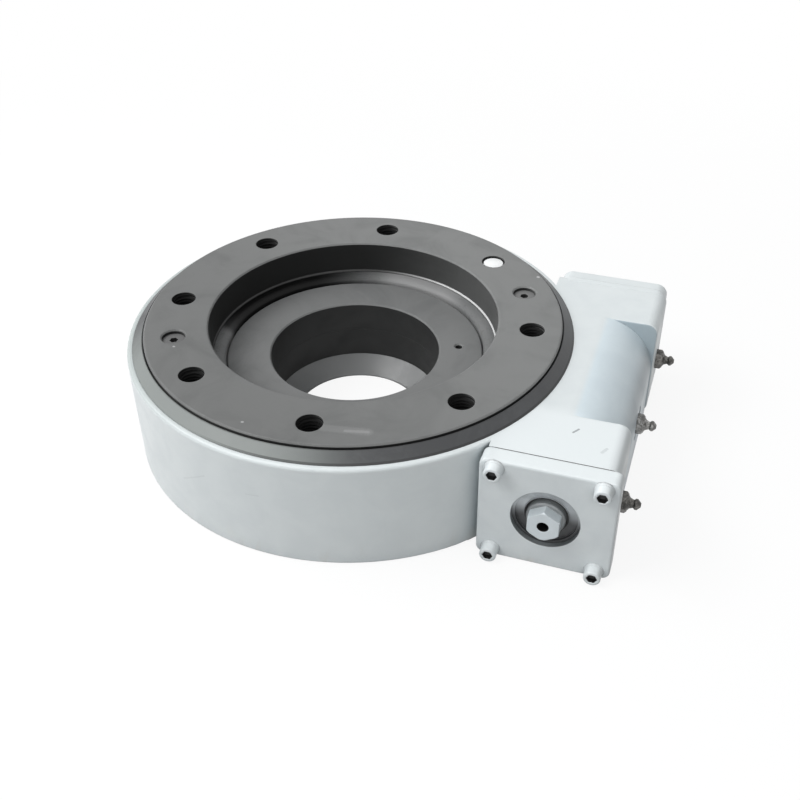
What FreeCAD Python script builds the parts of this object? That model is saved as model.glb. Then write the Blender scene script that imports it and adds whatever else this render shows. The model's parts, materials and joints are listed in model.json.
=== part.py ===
import FreeCAD, Part
import math
import os

Vector = FreeCAD.Vector

# Millimetres. Origin on the slew axis at the base face, +Z up along the slew axis.
# The worm lies parallel to Y on the +X side, with its drive end towards -Y.

# Gear pair
axial_module = 4.0
wheel_teeth = 57
worm_pitch_diameter = 40.0
pressure_angle = 20.0
root_clearance = 0.8
flank_clearance = 0.35
wheel_face_width = 24.0
worm_turns = 5
worm_clearance = 2.0

# Slew ring
ring_overhang = 0.3
ring_proud = 7.0
ring_floor_gap = 3.0
ring_edge_chamfer = 0.8
bolt_hole_inset = 16.7
bolt_hole_count = 8
bolt_hole_diameter = 14.0
bolt_hole_depth = 22.0
ring_rest_angle = 8.1
bolt_circle_to_bore = 19.3
bore_lip_depth = 18.7
bore_lip_width = 0.8
grease_port_diameter = 13.0
grease_port_depth = 9.0
grease_port_chamfer = 0.8
grease_plug_sink = 2.4
grease_plug_socket = 4.2
plug_clearance = 0.1

# Seals of the slew ring
dust_seal_width = 6.8
dust_seal_seat_depth = 6.0
dust_seal_rise = 5.4
dust_seal_edge_rise = 0.8
dust_seal_base_width = 2.6
inner_seal_width = 6.9
inner_seal_seat_depth = 3.0
inner_seal_proud = 0.8
inner_seal_steps = 6
lip_clearance = 0.3
seat_clearance = 0.05

# Inner ring and slew bearing
inner_face_drop = 24.0
inner_ring_width = 25.4
race_gap = 1.0
roller_diameter = 14.0
roller_end_clearance = 0.5
roller_clearance = 0.15
roller_spacing = 0.6
roller_chamfer = 1.2
base_circle_inset = 11.6
mount_hole_count = 8
mount_hole_diameter = 13.0
mount_thread_diameter = 10.2
mount_thread_depth = 15.0
ring_screw_count = 8
ring_screw_diameter = 6.0
ring_screw_head = 11.5
ring_screw_socket = 4.0
ring_screw_grip = 9.0
face_hole_diameter = 4.0
face_hole_depth = 8.0
face_hole_angle = 20.0

# Housing
floor_thickness = 9.0
base_taper = 11.8
cavity_clearance = 2.0
rim_width = 3.1
rim_fillet = 1.8
base_fillet = 1.0
tunnel_wall = 5.5
box_side_wall = 6.5
box_step_half_span = 47.8
end_block_length = 37.0
box_shift = 2.4
block_fillet = 6.5
step_fillet = 1.2

# Worm shaft and its bearings
bearing_bore = 25.0
bearing_outside = 52.0
cup_width = 13.0
cone_width = 15.0
bearing_width = 16.25
bearing_roller_count = 13
cone_race_angle = 11.0
cup_race_angle = 15.5
race_inset = 0.9
bearing_rib = 2.2
cage_thickness = 1.4
seal_journal_diameter = 20.0
hex_across_flats = 16.0
hex_length = 5.9
hex_proud = 5.4
end_hole_diameter = 5.6
end_hole_depth = 14.0
end_hole_chamfer = 0.4
shaft_chamfer = 0.8
bearing_clearance = 0.05

# Covers, gaskets and their screws
cover_thickness = 9.8
cover_overlap = 2.2
rear_cover_inset = 0.8
cover_corner_radius = 4.2
cover_edge_fillet = 1.4
gasket_thickness = 0.5
spigot_depth = 6.0
spigot_wall = 5.0
oil_seal_diameter = 35.0
oil_seal_width = 6.0
oil_seal_sink = 2.6
oil_seal_lip = 0.05
cover_screw_inset = 4.7
cover_screw_diameter = 5.0
cover_screw_head = 8.5
cover_screw_head_height = 5.0
cover_screw_socket = 4.0
cover_screw_socket_depth = 3.0
cover_screw_grip = 12.0
cover_washer_diameter = 9.2
cover_washer_thickness = 1.3
rear_screw_shift = 3.2
rear_screw_sink = 5.4
counterbore_clearance = 0.3

# Grease nipples
nipple_hex = 10.0
nipple_hex_height = 4.2
nipple_hex_chamfer = 1.2
nipple_length = 10.8
nipple_shank_diameter = 8.0
nipple_shank_length = 5.0
nipple_collar_diameter = 8.4
nipple_head_diameter = 5.8
nipple_head_length = 3.6
nipple_neck_diameter = 4.4
nipple_drop = 3.2

# Worked out from the values above
axial_pitch = math.pi * axial_module
wheel_pitch_radius = axial_module * wheel_teeth / 2
wheel_tip_radius = wheel_pitch_radius + axial_module
worm_pitch_radius = worm_pitch_diameter / 2
worm_tip_radius = worm_pitch_radius + axial_module
worm_root_radius = worm_pitch_radius - axial_module - root_clearance
wheel_root_radius = wheel_pitch_radius - axial_module - root_clearance
centre_distance = wheel_pitch_radius + worm_pitch_radius

ring_radius = wheel_tip_radius + ring_overhang
bolt_circle_radius = ring_radius - bolt_hole_inset
ring_bore_radius = bolt_circle_radius - bolt_circle_to_bore
seal_bore_radius = ring_bore_radius - bore_lip_width
inner_seal_radius = seal_bore_radius - inner_seal_width
inner_ring_radius = inner_seal_radius - lip_clearance
inner_bore_radius = inner_ring_radius - inner_ring_width
base_opening_radius = inner_bore_radius - base_taper
base_circle_radius = inner_bore_radius + base_circle_inset

tunnel_radius = worm_tip_radius + worm_clearance
bearing_seat_radius = bearing_outside / 2
race_mean_diameter = (bearing_bore + bearing_outside) / 2 - race_inset
worm_height = max(tunnel_radius, bearing_seat_radius) + tunnel_wall
rim_height = 2 * worm_height
ring_top = rim_height + ring_proud
inner_top = ring_top - inner_face_drop
bore_lip_top = ring_top - bore_lip_depth
ring_bottom = floor_thickness + ring_floor_gap
seal_ledge = inner_top - inner_seal_seat_depth
race_height = (floor_thickness + inner_top) / 2
race_radius = (inner_seal_radius + seal_bore_radius) / 2
race_half_diagonal = (roller_diameter / 2 + roller_clearance) * math.sqrt(2)

cavity_radius = ring_radius + cavity_clearance
rim_inner_radius = ring_radius + dust_seal_width
housing_radius = rim_inner_radius + rim_width
nipple_height = worm_height - nipple_drop
dust_seal_seat = rim_height - dust_seal_seat_depth

box_half_width = max(tunnel_radius, bearing_seat_radius) + box_side_wall
box_side = centre_distance + box_half_width
front_step = box_shift - box_step_half_span
rear_step = box_shift + box_step_half_span
front_face = front_step - end_block_length
rear_face = rear_step + end_block_length
cover_half_width = box_half_width + cover_overlap
rear_cover_half_width = box_half_width - rear_cover_inset
cover_front = front_face - gasket_thickness - cover_thickness
shaft_front = cover_front - hex_proud
shaft_rear = rear_face - spigot_depth
cover_screw_reach = worm_height - cover_screw_inset
rear_screw_reach = cover_screw_reach - rear_screw_shift
front_seat = front_face + spigot_depth
rear_seat = rear_face - spigot_depth

parts = {}


def turned(points, centre=Vector(0, 0, 0)):
    """Solid of revolution about the slew axis from (radius, height) corners."""
    corners = [centre + Vector(radius, 0, height) for radius, height in points]
    outline = Part.makePolygon(corners + corners[:1])
    return Part.Face(outline).revolve(centre, Vector(0, 0, 1), 360)


def cylinder(radius, low, high, x=0, y=0):
    """Upright cylinder between two heights."""
    return Part.makeCylinder(radius, high - low, Vector(x, y, low))


def on_worm_axis(shape):
    """Lay a shape made about Z along the worm axis, its Z towards +Y."""
    shape = shape.copy()
    shape.rotate(Vector(0, 0, 0), Vector(1, 0, 0), -90)
    shape.translate(Vector(centre_distance, 0, worm_height))
    return shape


def hexagon(across_flats, low, high, x=0, y=0):
    """Upright hexagonal prism with a corner towards +Y."""
    corner = across_flats / math.sqrt(3)
    corners = []
    for side in range(6):
        angle = math.radians(90 + 60 * side)
        corners.append(Vector(x + corner * math.cos(angle), y + corner * math.sin(angle), low))
    outline = Part.makePolygon(corners + corners[:1])
    return Part.Face(outline).extrude(Vector(0, 0, high - low))


def around(radius, count, start=0.0):
    """Places on a circle about the slew axis."""
    for step in range(count):
        angle = math.radians(start + 360 * step / count)
        yield radius * math.cos(angle), radius * math.sin(angle)


def cut_all(shape, tools):
    return shape.cut(Part.makeCompound(tools))


# Worm wheel teeth
def involute_angle(radius, base_radius):
    alpha = math.acos(base_radius / radius)
    return math.tan(alpha) - alpha


def wheel_outline(height, turn):
    """Closed outline of the toothed rim at one height, turned by an angle."""
    base_radius = wheel_pitch_radius * math.cos(math.radians(pressure_angle))
    half_tooth = (axial_pitch / 2 - flank_clearance) / 2 / wheel_pitch_radius
    at_pitch = involute_angle(wheel_pitch_radius, base_radius)
    tooth_step = 2 * math.pi / wheel_teeth

    def point(radius, angle):
        return Vector(radius * math.cos(angle + turn), radius * math.sin(angle + turn), height)

    def flank(radius):
        return half_tooth + at_pitch - involute_angle(radius, base_radius)

    mid_radius = (wheel_root_radius + wheel_tip_radius) / 2
    radii = (wheel_root_radius, mid_radius, wheel_tip_radius)
    edges = []
    for tooth in range(wheel_teeth):
        middle = (tooth + 0.5) * tooth_step
        rising = [point(radius, middle - flank(radius)) for radius in radii]
        falling = [point(radius, middle + flank(radius)) for radius in reversed(radii)]
        next_root = point(wheel_root_radius, middle + tooth_step - flank(wheel_root_radius))
        gap_middle = point(wheel_root_radius, middle + tooth_step / 2)
        edges.append(Part.Arc(*rising).toShape())
        edges.append(Part.Arc(rising[2], point(wheel_tip_radius, middle), falling[0]).toShape())
        edges.append(Part.Arc(*falling).toShape())
        edges.append(Part.Arc(falling[2], gap_middle, next_root).toShape())
    return Part.Wire(edges)


def toothed_rim():
    """Helical teeth that match the worm's lead, centred on the worm's height."""
    lead_slope = axial_pitch / (math.pi * worm_pitch_diameter)
    twist = wheel_face_width / 2 * lead_slope / wheel_pitch_radius
    low = worm_height - wheel_face_width / 2
    high = worm_height + wheel_face_width / 2
    outlines = [wheel_outline(low, -twist), wheel_outline(high, twist)]
    return Part.makeLoft(outlines, True, True)


# Slew ring
def make_slew_ring():
    reach = worm_tip_radius + worm_clearance / 2
    rise = math.sqrt(max(reach ** 2 - (centre_distance - ring_radius) ** 2, 0))
    flange_underside = worm_height + max(rise, wheel_face_width / 2 + axial_module)
    teeth_top = worm_height + wheel_face_width / 2
    teeth_bottom = worm_height - wheel_face_width / 2
    inner_wall = race_radius + race_gap / 2
    groove = race_half_diagonal - race_gap / 2
    edge = ring_edge_chamfer
    body = turned([
        (inner_wall, ring_bottom),
        (inner_wall, race_height - groove),
        (race_radius + race_half_diagonal, race_height),
        (inner_wall, race_height + groove),
        (inner_wall, seal_ledge),
        (seal_bore_radius, seal_ledge),
        (seal_bore_radius, bore_lip_top - bore_lip_width),
        (ring_bore_radius, bore_lip_top),
        (ring_bore_radius, ring_top - edge),
        (ring_bore_radius + edge, ring_top),
        (ring_radius - edge, ring_top),
        (ring_radius, ring_top - edge),
        (ring_radius, flange_underside),
        (wheel_root_radius, teeth_top),
        (wheel_root_radius, teeth_bottom),
        (wheel_root_radius - axial_module, ring_bottom),
    ])
    core = cylinder(wheel_root_radius - axial_module, teeth_bottom, teeth_top)
    body = body.fuse(toothed_rim().cut(core))
    tools = []
    for x, y in around(bolt_circle_radius, bolt_hole_count, ring_rest_angle):
        tools.append(cylinder(bolt_hole_diameter / 2, ring_top - bolt_hole_depth, ring_top, x, y))
    for x, y in grease_ports():
        tools.append(grease_port(x, y))
    parts["slew_ring"] = cut_all(body, tools).removeSplitter()


def grease_port(x, y):
    """Blind port in the ring face with a small chamfer at its mouth."""
    radius = grease_port_diameter / 2
    edge = grease_port_chamfer
    mouth = Part.makeCone(radius, radius + edge, edge, Vector(x, y, ring_top - edge))
    return cylinder(radius, ring_top - grease_port_depth, ring_top, x, y).fuse(mouth)


def grease_ports():
    half_step = 180 / bolt_hole_count
    return around(bolt_circle_radius, 2, ring_rest_angle + half_step)


def make_grease_plugs():
    plugs = []
    radius = grease_port_diameter / 2 - plug_clearance
    top = ring_top - grease_plug_sink
    for x, y in grease_ports():
        plug = cylinder(radius, ring_top - grease_port_depth, top, x, y)
        plugs.append(plug.cut(hexagon(grease_plug_socket, top - grease_plug_socket, top, x, y)))
    parts["grease_port_plugs"] = Part.makeCompound(plugs)


# Seals of the slew ring
def make_dust_seal():
    outer = rim_inner_radius - seat_clearance
    inner = ring_radius + lip_clearance
    crest = rim_height + dust_seal_rise
    edge_top = rim_height + dust_seal_edge_rise
    lip = dust_seal_base_width / 4
    parts["dust_seal"] = turned([
        (outer, dust_seal_seat),
        (outer, edge_top - lip),
        (outer - lip, edge_top),
        (inner + 2 * lip, crest - lip),
        (inner + lip, crest),
        (inner, crest - lip),
        (inner, dust_seal_seat + dust_seal_base_width),
        (outer - dust_seal_base_width, dust_seal_seat),
    ])


def make_inner_seal():
    outer = seal_bore_radius - seat_clearance
    width = outer - inner_seal_radius
    toe = inner_top + inner_seal_proud
    rise = bore_lip_top - bore_lip_width - lip_clearance - toe
    points = [(inner_seal_radius, seal_ledge), (outer, seal_ledge)]
    for step in range(inner_seal_steps + 1):
        angle = math.radians(90 * step / inner_seal_steps)
        points.append((outer - width * math.sin(angle), toe + rise * math.cos(angle)))
    parts["inner_seal"] = turned(points)


# Fixed inner ring, split at the raceway
def make_inner_ring():
    outer_wall = race_radius - race_gap / 2
    groove = race_half_diagonal - race_gap / 2
    shoulder = seal_ledge - race_gap
    edge = ring_edge_chamfer
    lower = turned([
        (inner_bore_radius, floor_thickness),
        (outer_wall, floor_thickness),
        (outer_wall, race_height - groove),
        (race_radius - race_half_diagonal, race_height),
        (inner_bore_radius, race_height),
    ])
    upper = turned([
        (inner_bore_radius, race_height),
        (race_radius - race_half_diagonal, race_height),
        (outer_wall, race_height + groove),
        (outer_wall, shoulder),
        (inner_ring_radius, shoulder),
        (inner_ring_radius, inner_top - edge),
        (inner_ring_radius - edge, inner_top),
        (inner_bore_radius + edge, inner_top),
        (inner_bore_radius, inner_top - edge),
    ])
    screw_top = race_height + ring_screw_grip
    screw_holes = []
    for x, y in ring_screws():
        screw_holes.append(cylinder(ring_screw_diameter / 2 + seat_clearance, 0, screw_top, x, y))
    threads = []
    for x, y in mount_holes():
        threads.append(cylinder(mount_thread_diameter / 2, 0, floor_thickness + mount_thread_depth, x, y))
    angle = math.radians(face_hole_angle)
    x = base_circle_radius * math.cos(angle)
    y = base_circle_radius * math.sin(angle)
    face_hole = cylinder(face_hole_diameter / 2, inner_top - face_hole_depth, inner_top, x, y)
    mouth = Part.makeCone(
        face_hole_diameter / 2, face_hole_diameter / 2 + edge, edge, Vector(x, y, inner_top - edge)
    )
    parts["inner_ring_lower"] = cut_all(lower, screw_holes + threads)
    parts["inner_ring_upper"] = cut_all(upper, screw_holes + [face_hole, mouth])


def ring_screws():
    return around(base_circle_radius, ring_screw_count)


def mount_holes():
    return around(base_circle_radius, mount_hole_count, 180 / mount_hole_count)


def countersunk(diameter, head, top, x, y):
    """Countersunk screw or its hole, driven up from the base face."""
    head_height = (head - diameter) / 2
    cone = Part.makeCone(head / 2, diameter / 2, head_height, Vector(x, y, 0))
    return cone.fuse(cylinder(diameter / 2, head_height, top, x, y))


def make_ring_screws():
    screws = []
    for x, y in ring_screws():
        screw = countersunk(ring_screw_diameter, ring_screw_head, race_height + ring_screw_grip, x, y)
        screws.append(screw.cut(hexagon(ring_screw_socket, 0, ring_screw_diameter / 2, x, y)))
    parts["inner_ring_screws"] = Part.makeCompound(screws)


# Crossed rollers of the slew bearing
def make_slew_rollers():
    count = 2 * int(math.pi * race_radius / (roller_diameter + roller_spacing))
    length = roller_diameter - 2 * roller_end_clearance
    radius = roller_diameter / 2
    inset = roller_chamfer
    blank = turned([
        (0, -length / 2),
        (radius - inset, -length / 2),
        (radius, inset - length / 2),
        (radius, length / 2 - inset),
        (radius - inset, length / 2),
        (0, length / 2),
    ])
    rollers = []
    for step in range(count):
        roller = blank.copy()
        tilt = 45 if step % 2 == 0 else -45
        roller.rotate(Vector(0, 0, 0), Vector(0, 1, 0), tilt)
        roller.translate(Vector(race_radius, 0, race_height))
        roller.rotate(Vector(0, 0, 0), Vector(0, 0, 1), 360 * step / count)
        rollers.append(roller)
    parts["slew_rollers"] = Part.makeCompound(rollers)


# Housing
def end_block(low_y, high_y):
    """Square end of the worm box with its outer long edges and its step rounded."""
    block = Part.makeBox(
        2 * box_half_width, high_y - low_y, rim_height,
        Vector(centre_distance - box_half_width, low_y, 0)
    )
    edges = []
    for edge in block.Edges:
        middle = edge.BoundBox.Center
        along_y = edge.BoundBox.YLength > end_block_length / 2
        at_side = abs(middle.x - box_side) < seat_clearance
        if along_y and at_side:
            edges.append(edge)
    block = block.makeFillet(block_fillet, edges)
    step_y = high_y if low_y < box_shift else low_y
    step_edges = []
    for edge in block.Edges:
        box = edge.BoundBox
        on_step = abs(box.YMin - step_y) < seat_clearance and abs(box.YMax - step_y) < seat_clearance
        outside = box.XMax > centre_distance
        if on_step and outside and box.ZMax > worm_height:
            step_edges.append(edge)
    return block.makeFillet(step_fillet, step_edges)


def tunnel_body():
    """Middle of the worm box: round over the worm, flat from the worm's height down to the base."""
    start = front_step - 2 * step_fillet
    length = rear_step + 2 * step_fillet - start
    web_corner = Vector(centre_distance - box_half_width, start, 0)
    web = Part.makeBox(box_half_width, length, rim_height, web_corner)
    foot = Part.makeBox(worm_height, length, worm_height, Vector(centre_distance, start, 0))
    barrel_axis = Vector(centre_distance, start, worm_height)
    barrel = Part.makeCylinder(worm_height, length, barrel_axis, Vector(0, 1, 0))
    return web.fuse([foot, barrel])


def make_housing():
    bowl = cylinder(housing_radius, 0, rim_height)
    top_edges = [edge for edge in bowl.Edges if edge.BoundBox.ZMin > worm_height]
    bottom_edges = [edge for edge in bowl.Edges if edge.BoundBox.ZMax < worm_height]
    bowl = bowl.makeFillet(rim_fillet, top_edges).makeFillet(base_fillet, bottom_edges)
    body = bowl.fuse([tunnel_body(), end_block(front_face, front_step), end_block(rear_step, rear_face)])
    tunnel_start = Vector(centre_distance, front_seat, worm_height)
    tunnel = Part.makeCylinder(tunnel_radius, rear_seat - front_seat, tunnel_start, Vector(0, 1, 0))
    tools = [
        cylinder(cavity_radius, floor_thickness, dust_seal_seat),
        cylinder(rim_inner_radius, dust_seal_seat, rim_height),
        Part.makeCone(base_opening_radius, inner_bore_radius, floor_thickness),
        tunnel,
    ]
    for start, end in ((front_face, front_seat + bearing_width), (rear_seat - bearing_width, rear_face)):
        axis_point = Vector(centre_distance, start, worm_height)
        tools.append(Part.makeCylinder(bearing_seat_radius, end - start, axis_point, Vector(0, 1, 0)))
    for x, y in mount_holes():
        tools.append(cylinder(mount_hole_diameter / 2, 0, floor_thickness, x, y))
    for x, y in ring_screws():
        hole = 2 * seat_clearance
        tools.append(countersunk(ring_screw_diameter + hole, ring_screw_head + hole, floor_thickness, x, y))
    screw_radius = cover_screw_diameter / 2 + seat_clearance
    for start, reach in ((front_face, cover_screw_reach), (rear_face - cover_screw_grip, rear_screw_reach)):
        for x, z in corners(reach):
            foot = Vector(centre_distance + x, start, worm_height + z)
            tools.append(Part.makeCylinder(screw_radius, cover_screw_grip, foot, Vector(0, 1, 0)))
    for y, seat in nipple_places().values():
        depth = nipple_shank_length + seat_clearance
        hole = nipple_shank_diameter / 2 + seat_clearance
        bottom = Vector(seat - depth, y, nipple_height)
        face = Vector(seat, y, nipple_height)
        tools.append(Part.makeCylinder(hole, depth, bottom, Vector(1, 0, 0)))
        tools.append(Part.makeCylinder(nipple_hex, tunnel_wall, face, Vector(1, 0, 0)))
    for tool in tools:
        body = body.cut(tool)
    parts["housing"] = body.removeSplitter()


# Grease nipples on the outer side of the worm box
def nipple_places():
    """Name to (place along the worm, seat face) of each nipple."""
    flat = nipple_hex ** 2 / (8 * worm_height)
    block_middle = end_block_length / 2
    return {
        "grease_nipple_front": (front_step - block_middle, box_side),
        "grease_nipple_middle": (box_shift, centre_distance + worm_height - flat),
        "grease_nipple_rear": (rear_step + block_middle, box_side),
    }


def make_nipples():
    head = nipple_head_diameter / 2
    neck = nipple_neck_diameter / 2
    shank = nipple_shank_diameter / 2
    collar = nipple_collar_diameter / 2
    head_low = nipple_length - nipple_head_length
    shoulder = (head - neck) / 2
    stem = turned([
        (0, -nipple_shank_length),
        (shank, -nipple_shank_length),
        (shank, nipple_hex_height / 2),
        (collar, nipple_hex_height / 2),
        (collar, nipple_hex_height),
        ((collar + 2 * neck) / 3, (2 * nipple_hex_height + head_low) / 3),
        (neck, head_low - shoulder),
        (neck, head_low),
        (head, head_low + 2 * shoulder),
        (head, nipple_length - nipple_head_length / 2),
        (neck / 2, nipple_length),
        (0, nipple_length),
    ])
    corner = nipple_hex / math.sqrt(3)
    crown = Part.makeCone(
        corner + nipple_hex_height - nipple_hex_chamfer, corner - nipple_hex_chamfer, nipple_hex_height
    )
    spanner_hex = hexagon(nipple_hex, 0, nipple_hex_height).common(crown)
    nipple = stem.fuse(spanner_hex).removeSplitter()
    nipple.rotate(Vector(0, 0, 0), Vector(0, 1, 0), 90)
    for name, (y, seat) in nipple_places().items():
        placed = nipple.copy()
        placed.translate(Vector(seat, y, nipple_height))
        parts[name] = placed


# Worm shaft
def worm_thread():
    """Single start right-hand thread, made about Z and centred on the wheel's middle."""
    tangent = math.tan(math.radians(pressure_angle))
    half_pitch_width = (axial_pitch / 2 - flank_clearance) / 2
    sunk = root_clearance / 2
    low_radius = worm_root_radius - sunk
    low_half = half_pitch_width + (worm_pitch_radius - low_radius) * tangent
    top_half = half_pitch_width - axial_module * tangent
    corners = [
        Vector(low_radius, 0, -low_half),
        Vector(worm_tip_radius, 0, -top_half),
        Vector(worm_tip_radius, 0, top_half),
        Vector(low_radius, 0, low_half),
    ]
    profile = Part.makePolygon(corners + corners[:1])
    path = Part.Wire(Part.makeHelix(axial_pitch, worm_turns * axial_pitch, worm_pitch_radius).Edges)
    thread = path.makePipeShell([profile], True, True)
    thread.translate(Vector(0, 0, -worm_turns * axial_pitch / 2))
    return thread


def make_worm_shaft():
    journal = bearing_bore / 2 - bearing_clearance
    seal_journal = seal_journal_diameter / 2
    front_shoulder = front_seat + bearing_width
    rear_shoulder = rear_seat - bearing_width
    journal_end = front_seat + bearing_width - cone_width - shaft_chamfer
    hex_start = shaft_front + hex_length
    inset = shaft_chamfer
    core = turned([
        (0, hex_start),
        (seal_journal - inset, hex_start),
        (seal_journal, hex_start + inset),
        (seal_journal, journal_end),
        (journal, journal_end),
        (journal, front_shoulder),
        (worm_root_radius, front_shoulder),
        (worm_root_radius, rear_shoulder),
        (journal, rear_shoulder),
        (journal, shaft_rear - inset),
        (journal - inset, shaft_rear),
        (0, shaft_rear),
    ])
    drive_hex = hexagon(hex_across_flats, shaft_front, hex_start + inset)
    end_radius = hex_across_flats / math.sqrt(3) - inset
    length = hex_length + inset
    point = Part.makeCone(end_radius, end_radius + length, length, Vector(0, 0, shaft_front))
    drive_hex = drive_hex.common(point)
    radius = end_hole_diameter / 2
    mouth = Part.makeCone(radius + end_hole_chamfer, radius, end_hole_chamfer, Vector(0, 0, shaft_front))
    end_hole = cylinder(radius, shaft_front, shaft_front + end_hole_depth)
    shaft = core.fuse([drive_hex, worm_thread()]).cut(mouth).cut(end_hole)
    parts["worm_shaft"] = on_worm_axis(shaft.removeSplitter())


# Tapered roller bearings
def bearing_pieces():
    """Cup, cone, rollers and cage about Z, cup back face at zero, worm side upwards."""
    mean_angle = math.radians((cone_race_angle + cup_race_angle) / 2)
    middle = cup_width * 0.58
    apex = middle - race_mean_diameter / 2 / math.tan(mean_angle)

    def race(height, angle):
        return (height - apex) * math.tan(math.radians(angle))

    cone_low = bearing_width - cone_width
    rib_low = bearing_width - bearing_rib
    bore = bearing_bore / 2
    cup = turned([
        (race(0, cup_race_angle), 0),
        (bearing_outside / 2 - bearing_clearance, 0),
        (bearing_outside / 2 - bearing_clearance, cup_width),
        (race(cup_width, cup_race_angle), cup_width),
    ])
    rib_height = cage_thickness
    cone = turned([
        (bore, cone_low),
        (race(cone_low, cone_race_angle) + rib_height / 2, cone_low),
        (race(cone_low, cone_race_angle) + rib_height / 2, cone_low + bearing_rib / 2),
        (race(cone_low + bearing_rib / 2, cone_race_angle), cone_low + bearing_rib / 2),
        (race(rib_low, cone_race_angle), rib_low),
        (race(rib_low, cone_race_angle) + rib_height, rib_low),
        (race(rib_low, cone_race_angle) + rib_height, bearing_width),
        (bore, bearing_width),
    ])
    roller_low = cone_low + bearing_rib / 2 + roller_end_clearance
    roller_high = rib_low - roller_end_clearance
    half_angle = math.radians((cup_race_angle - cone_race_angle) / 2)
    near = (roller_low - apex) / math.cos(mean_angle) + roller_end_clearance
    far = (roller_high - apex) / math.cos(mean_angle) - roller_end_clearance
    small = near * math.sin(half_angle) - roller_clearance
    large = far * math.sin(half_angle) - roller_clearance
    rollers = []
    pockets = []
    for step in range(bearing_roller_count):
        for gain, group in ((0, rollers), (cage_thickness / 4, pockets)):
            start = Vector(0, 0, near - gain)
            shape = Part.makeCone(small + gain, large + gain, far - near + 2 * gain, start)
            shape.rotate(Vector(0, 0, 0), Vector(0, 1, 0), math.degrees(mean_angle))
            shape.translate(Vector(0, 0, apex))
            shape.rotate(Vector(0, 0, 0), Vector(0, 0, 1), 360 * step / bearing_roller_count)
            group.append(shape)
    cage_angle = math.degrees(mean_angle) + (cup_race_angle - cone_race_angle) / 8
    half_cage = cage_thickness / 2
    cage_low = roller_low - half_cage
    cage_high = roller_high + half_cage
    cage = turned([
        (race(cage_low, cage_angle) - half_cage, cage_low),
        (race(cage_low, cage_angle) + half_cage, cage_low),
        (race(cage_high, cage_angle) + half_cage, cage_high),
        (race(cage_high, cage_angle) - half_cage, cage_high),
    ])
    return {"cup": cup, "cone": cone, "rollers": Part.makeCompound(rollers), "cage": cut_all(cage, pockets)}


def make_bearings():
    for name, shape in bearing_pieces().items():
        front = shape.copy()
        front.translate(Vector(0, 0, front_seat))
        rear = shape.copy()
        rear.rotate(Vector(0, 0, 0), Vector(1, 0, 0), 180)
        rear.translate(Vector(0, 0, rear_seat))
        parts["front_bearing_" + name] = on_worm_axis(front)
        parts["rear_bearing_" + name] = on_worm_axis(rear)


# End covers
def corners(reach):
    """Places of the four cover screws about the worm axis."""
    return [(sx * reach, sy * reach) for sx in (-1, 1) for sy in (-1, 1)]


def cover_slab(low, high, half_width, half_height, corner_radius):
    """Rounded square slab about Z, its long sides across the worm axis."""
    slab = Part.makeBox(
        2 * half_width, 2 * half_height, high - low, Vector(-half_width, -half_height, low)
    )
    upright = [edge for edge in slab.Edges if edge.BoundBox.ZLength > seat_clearance]
    return slab.makeFillet(corner_radius, upright)


def cover_blank(half_width, corner_radius, reach):
    """Cover about Z with its outer face at zero and its spigot upwards."""
    slab = cover_slab(0, cover_thickness, half_width, worm_height, corner_radius)
    outer = [edge for edge in slab.Edges if edge.BoundBox.ZMax < seat_clearance]
    slab = slab.makeFillet(cover_edge_fillet, outer)
    spigot_top = cover_thickness + gasket_thickness + spigot_depth
    outside = bearing_seat_radius - seat_clearance
    spigot = cylinder(outside, cover_thickness, spigot_top)
    recess = cylinder(outside - spigot_wall, cover_thickness, spigot_top)
    radius = cover_screw_diameter / 2 + seat_clearance
    holes = [cylinder(radius, 0, cover_thickness, x, y) for x, y in corners(reach)]
    return cut_all(slab.fuse(spigot).cut(recess), holes)


def place_front(shape):
    """Move a shape from the cover's own place to the drive end."""
    moved = shape.copy()
    moved.translate(Vector(0, 0, cover_front))
    return on_worm_axis(moved)


def place_rear(shape):
    """Turn a shape round for the rear end."""
    moved = shape.copy()
    moved.rotate(Vector(0, 0, 0), Vector(1, 0, 0), 180)
    moved.translate(Vector(0, 0, rear_face + gasket_thickness + cover_thickness))
    return on_worm_axis(moved)


def make_covers():
    blank = cover_blank(cover_half_width, cover_corner_radius, cover_screw_reach)
    seal_seat = cylinder(oil_seal_diameter / 2, 0, oil_seal_sink + oil_seal_width)
    journal_hole = cylinder(seal_journal_diameter / 2 + worm_clearance, 0, cover_thickness)
    parts["drive_end_cover"] = place_front(blank.cut(seal_seat).cut(journal_hole).removeSplitter())
    blank = cover_blank(rear_cover_half_width, block_fillet, rear_screw_reach)
    radius = cover_screw_head / 2 + counterbore_clearance
    wells = [cylinder(radius, 0, rear_screw_sink, x, y) for x, y in corners(rear_screw_reach)]
    parts["rear_end_cover"] = place_rear(cut_all(blank, wells).removeSplitter())


def cover_gasket(half_width, corner_radius, reach):
    low = cover_thickness
    high = cover_thickness + gasket_thickness
    gap = seat_clearance
    sheet = cover_slab(low, high, half_width - gap, worm_height - gap, corner_radius)
    radius = cover_screw_diameter / 2 + seat_clearance
    holes = [cylinder(radius, low, high, x, y) for x, y in corners(reach)]
    return cut_all(sheet, holes + [cylinder(bearing_seat_radius, low, high)])


def make_gaskets():
    front = cover_gasket(box_half_width, cover_corner_radius, cover_screw_reach)
    rear = cover_gasket(rear_cover_half_width, block_fillet, rear_screw_reach)
    parts["drive_cover_gasket"] = place_front(front)
    parts["rear_cover_gasket"] = place_rear(rear)


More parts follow.
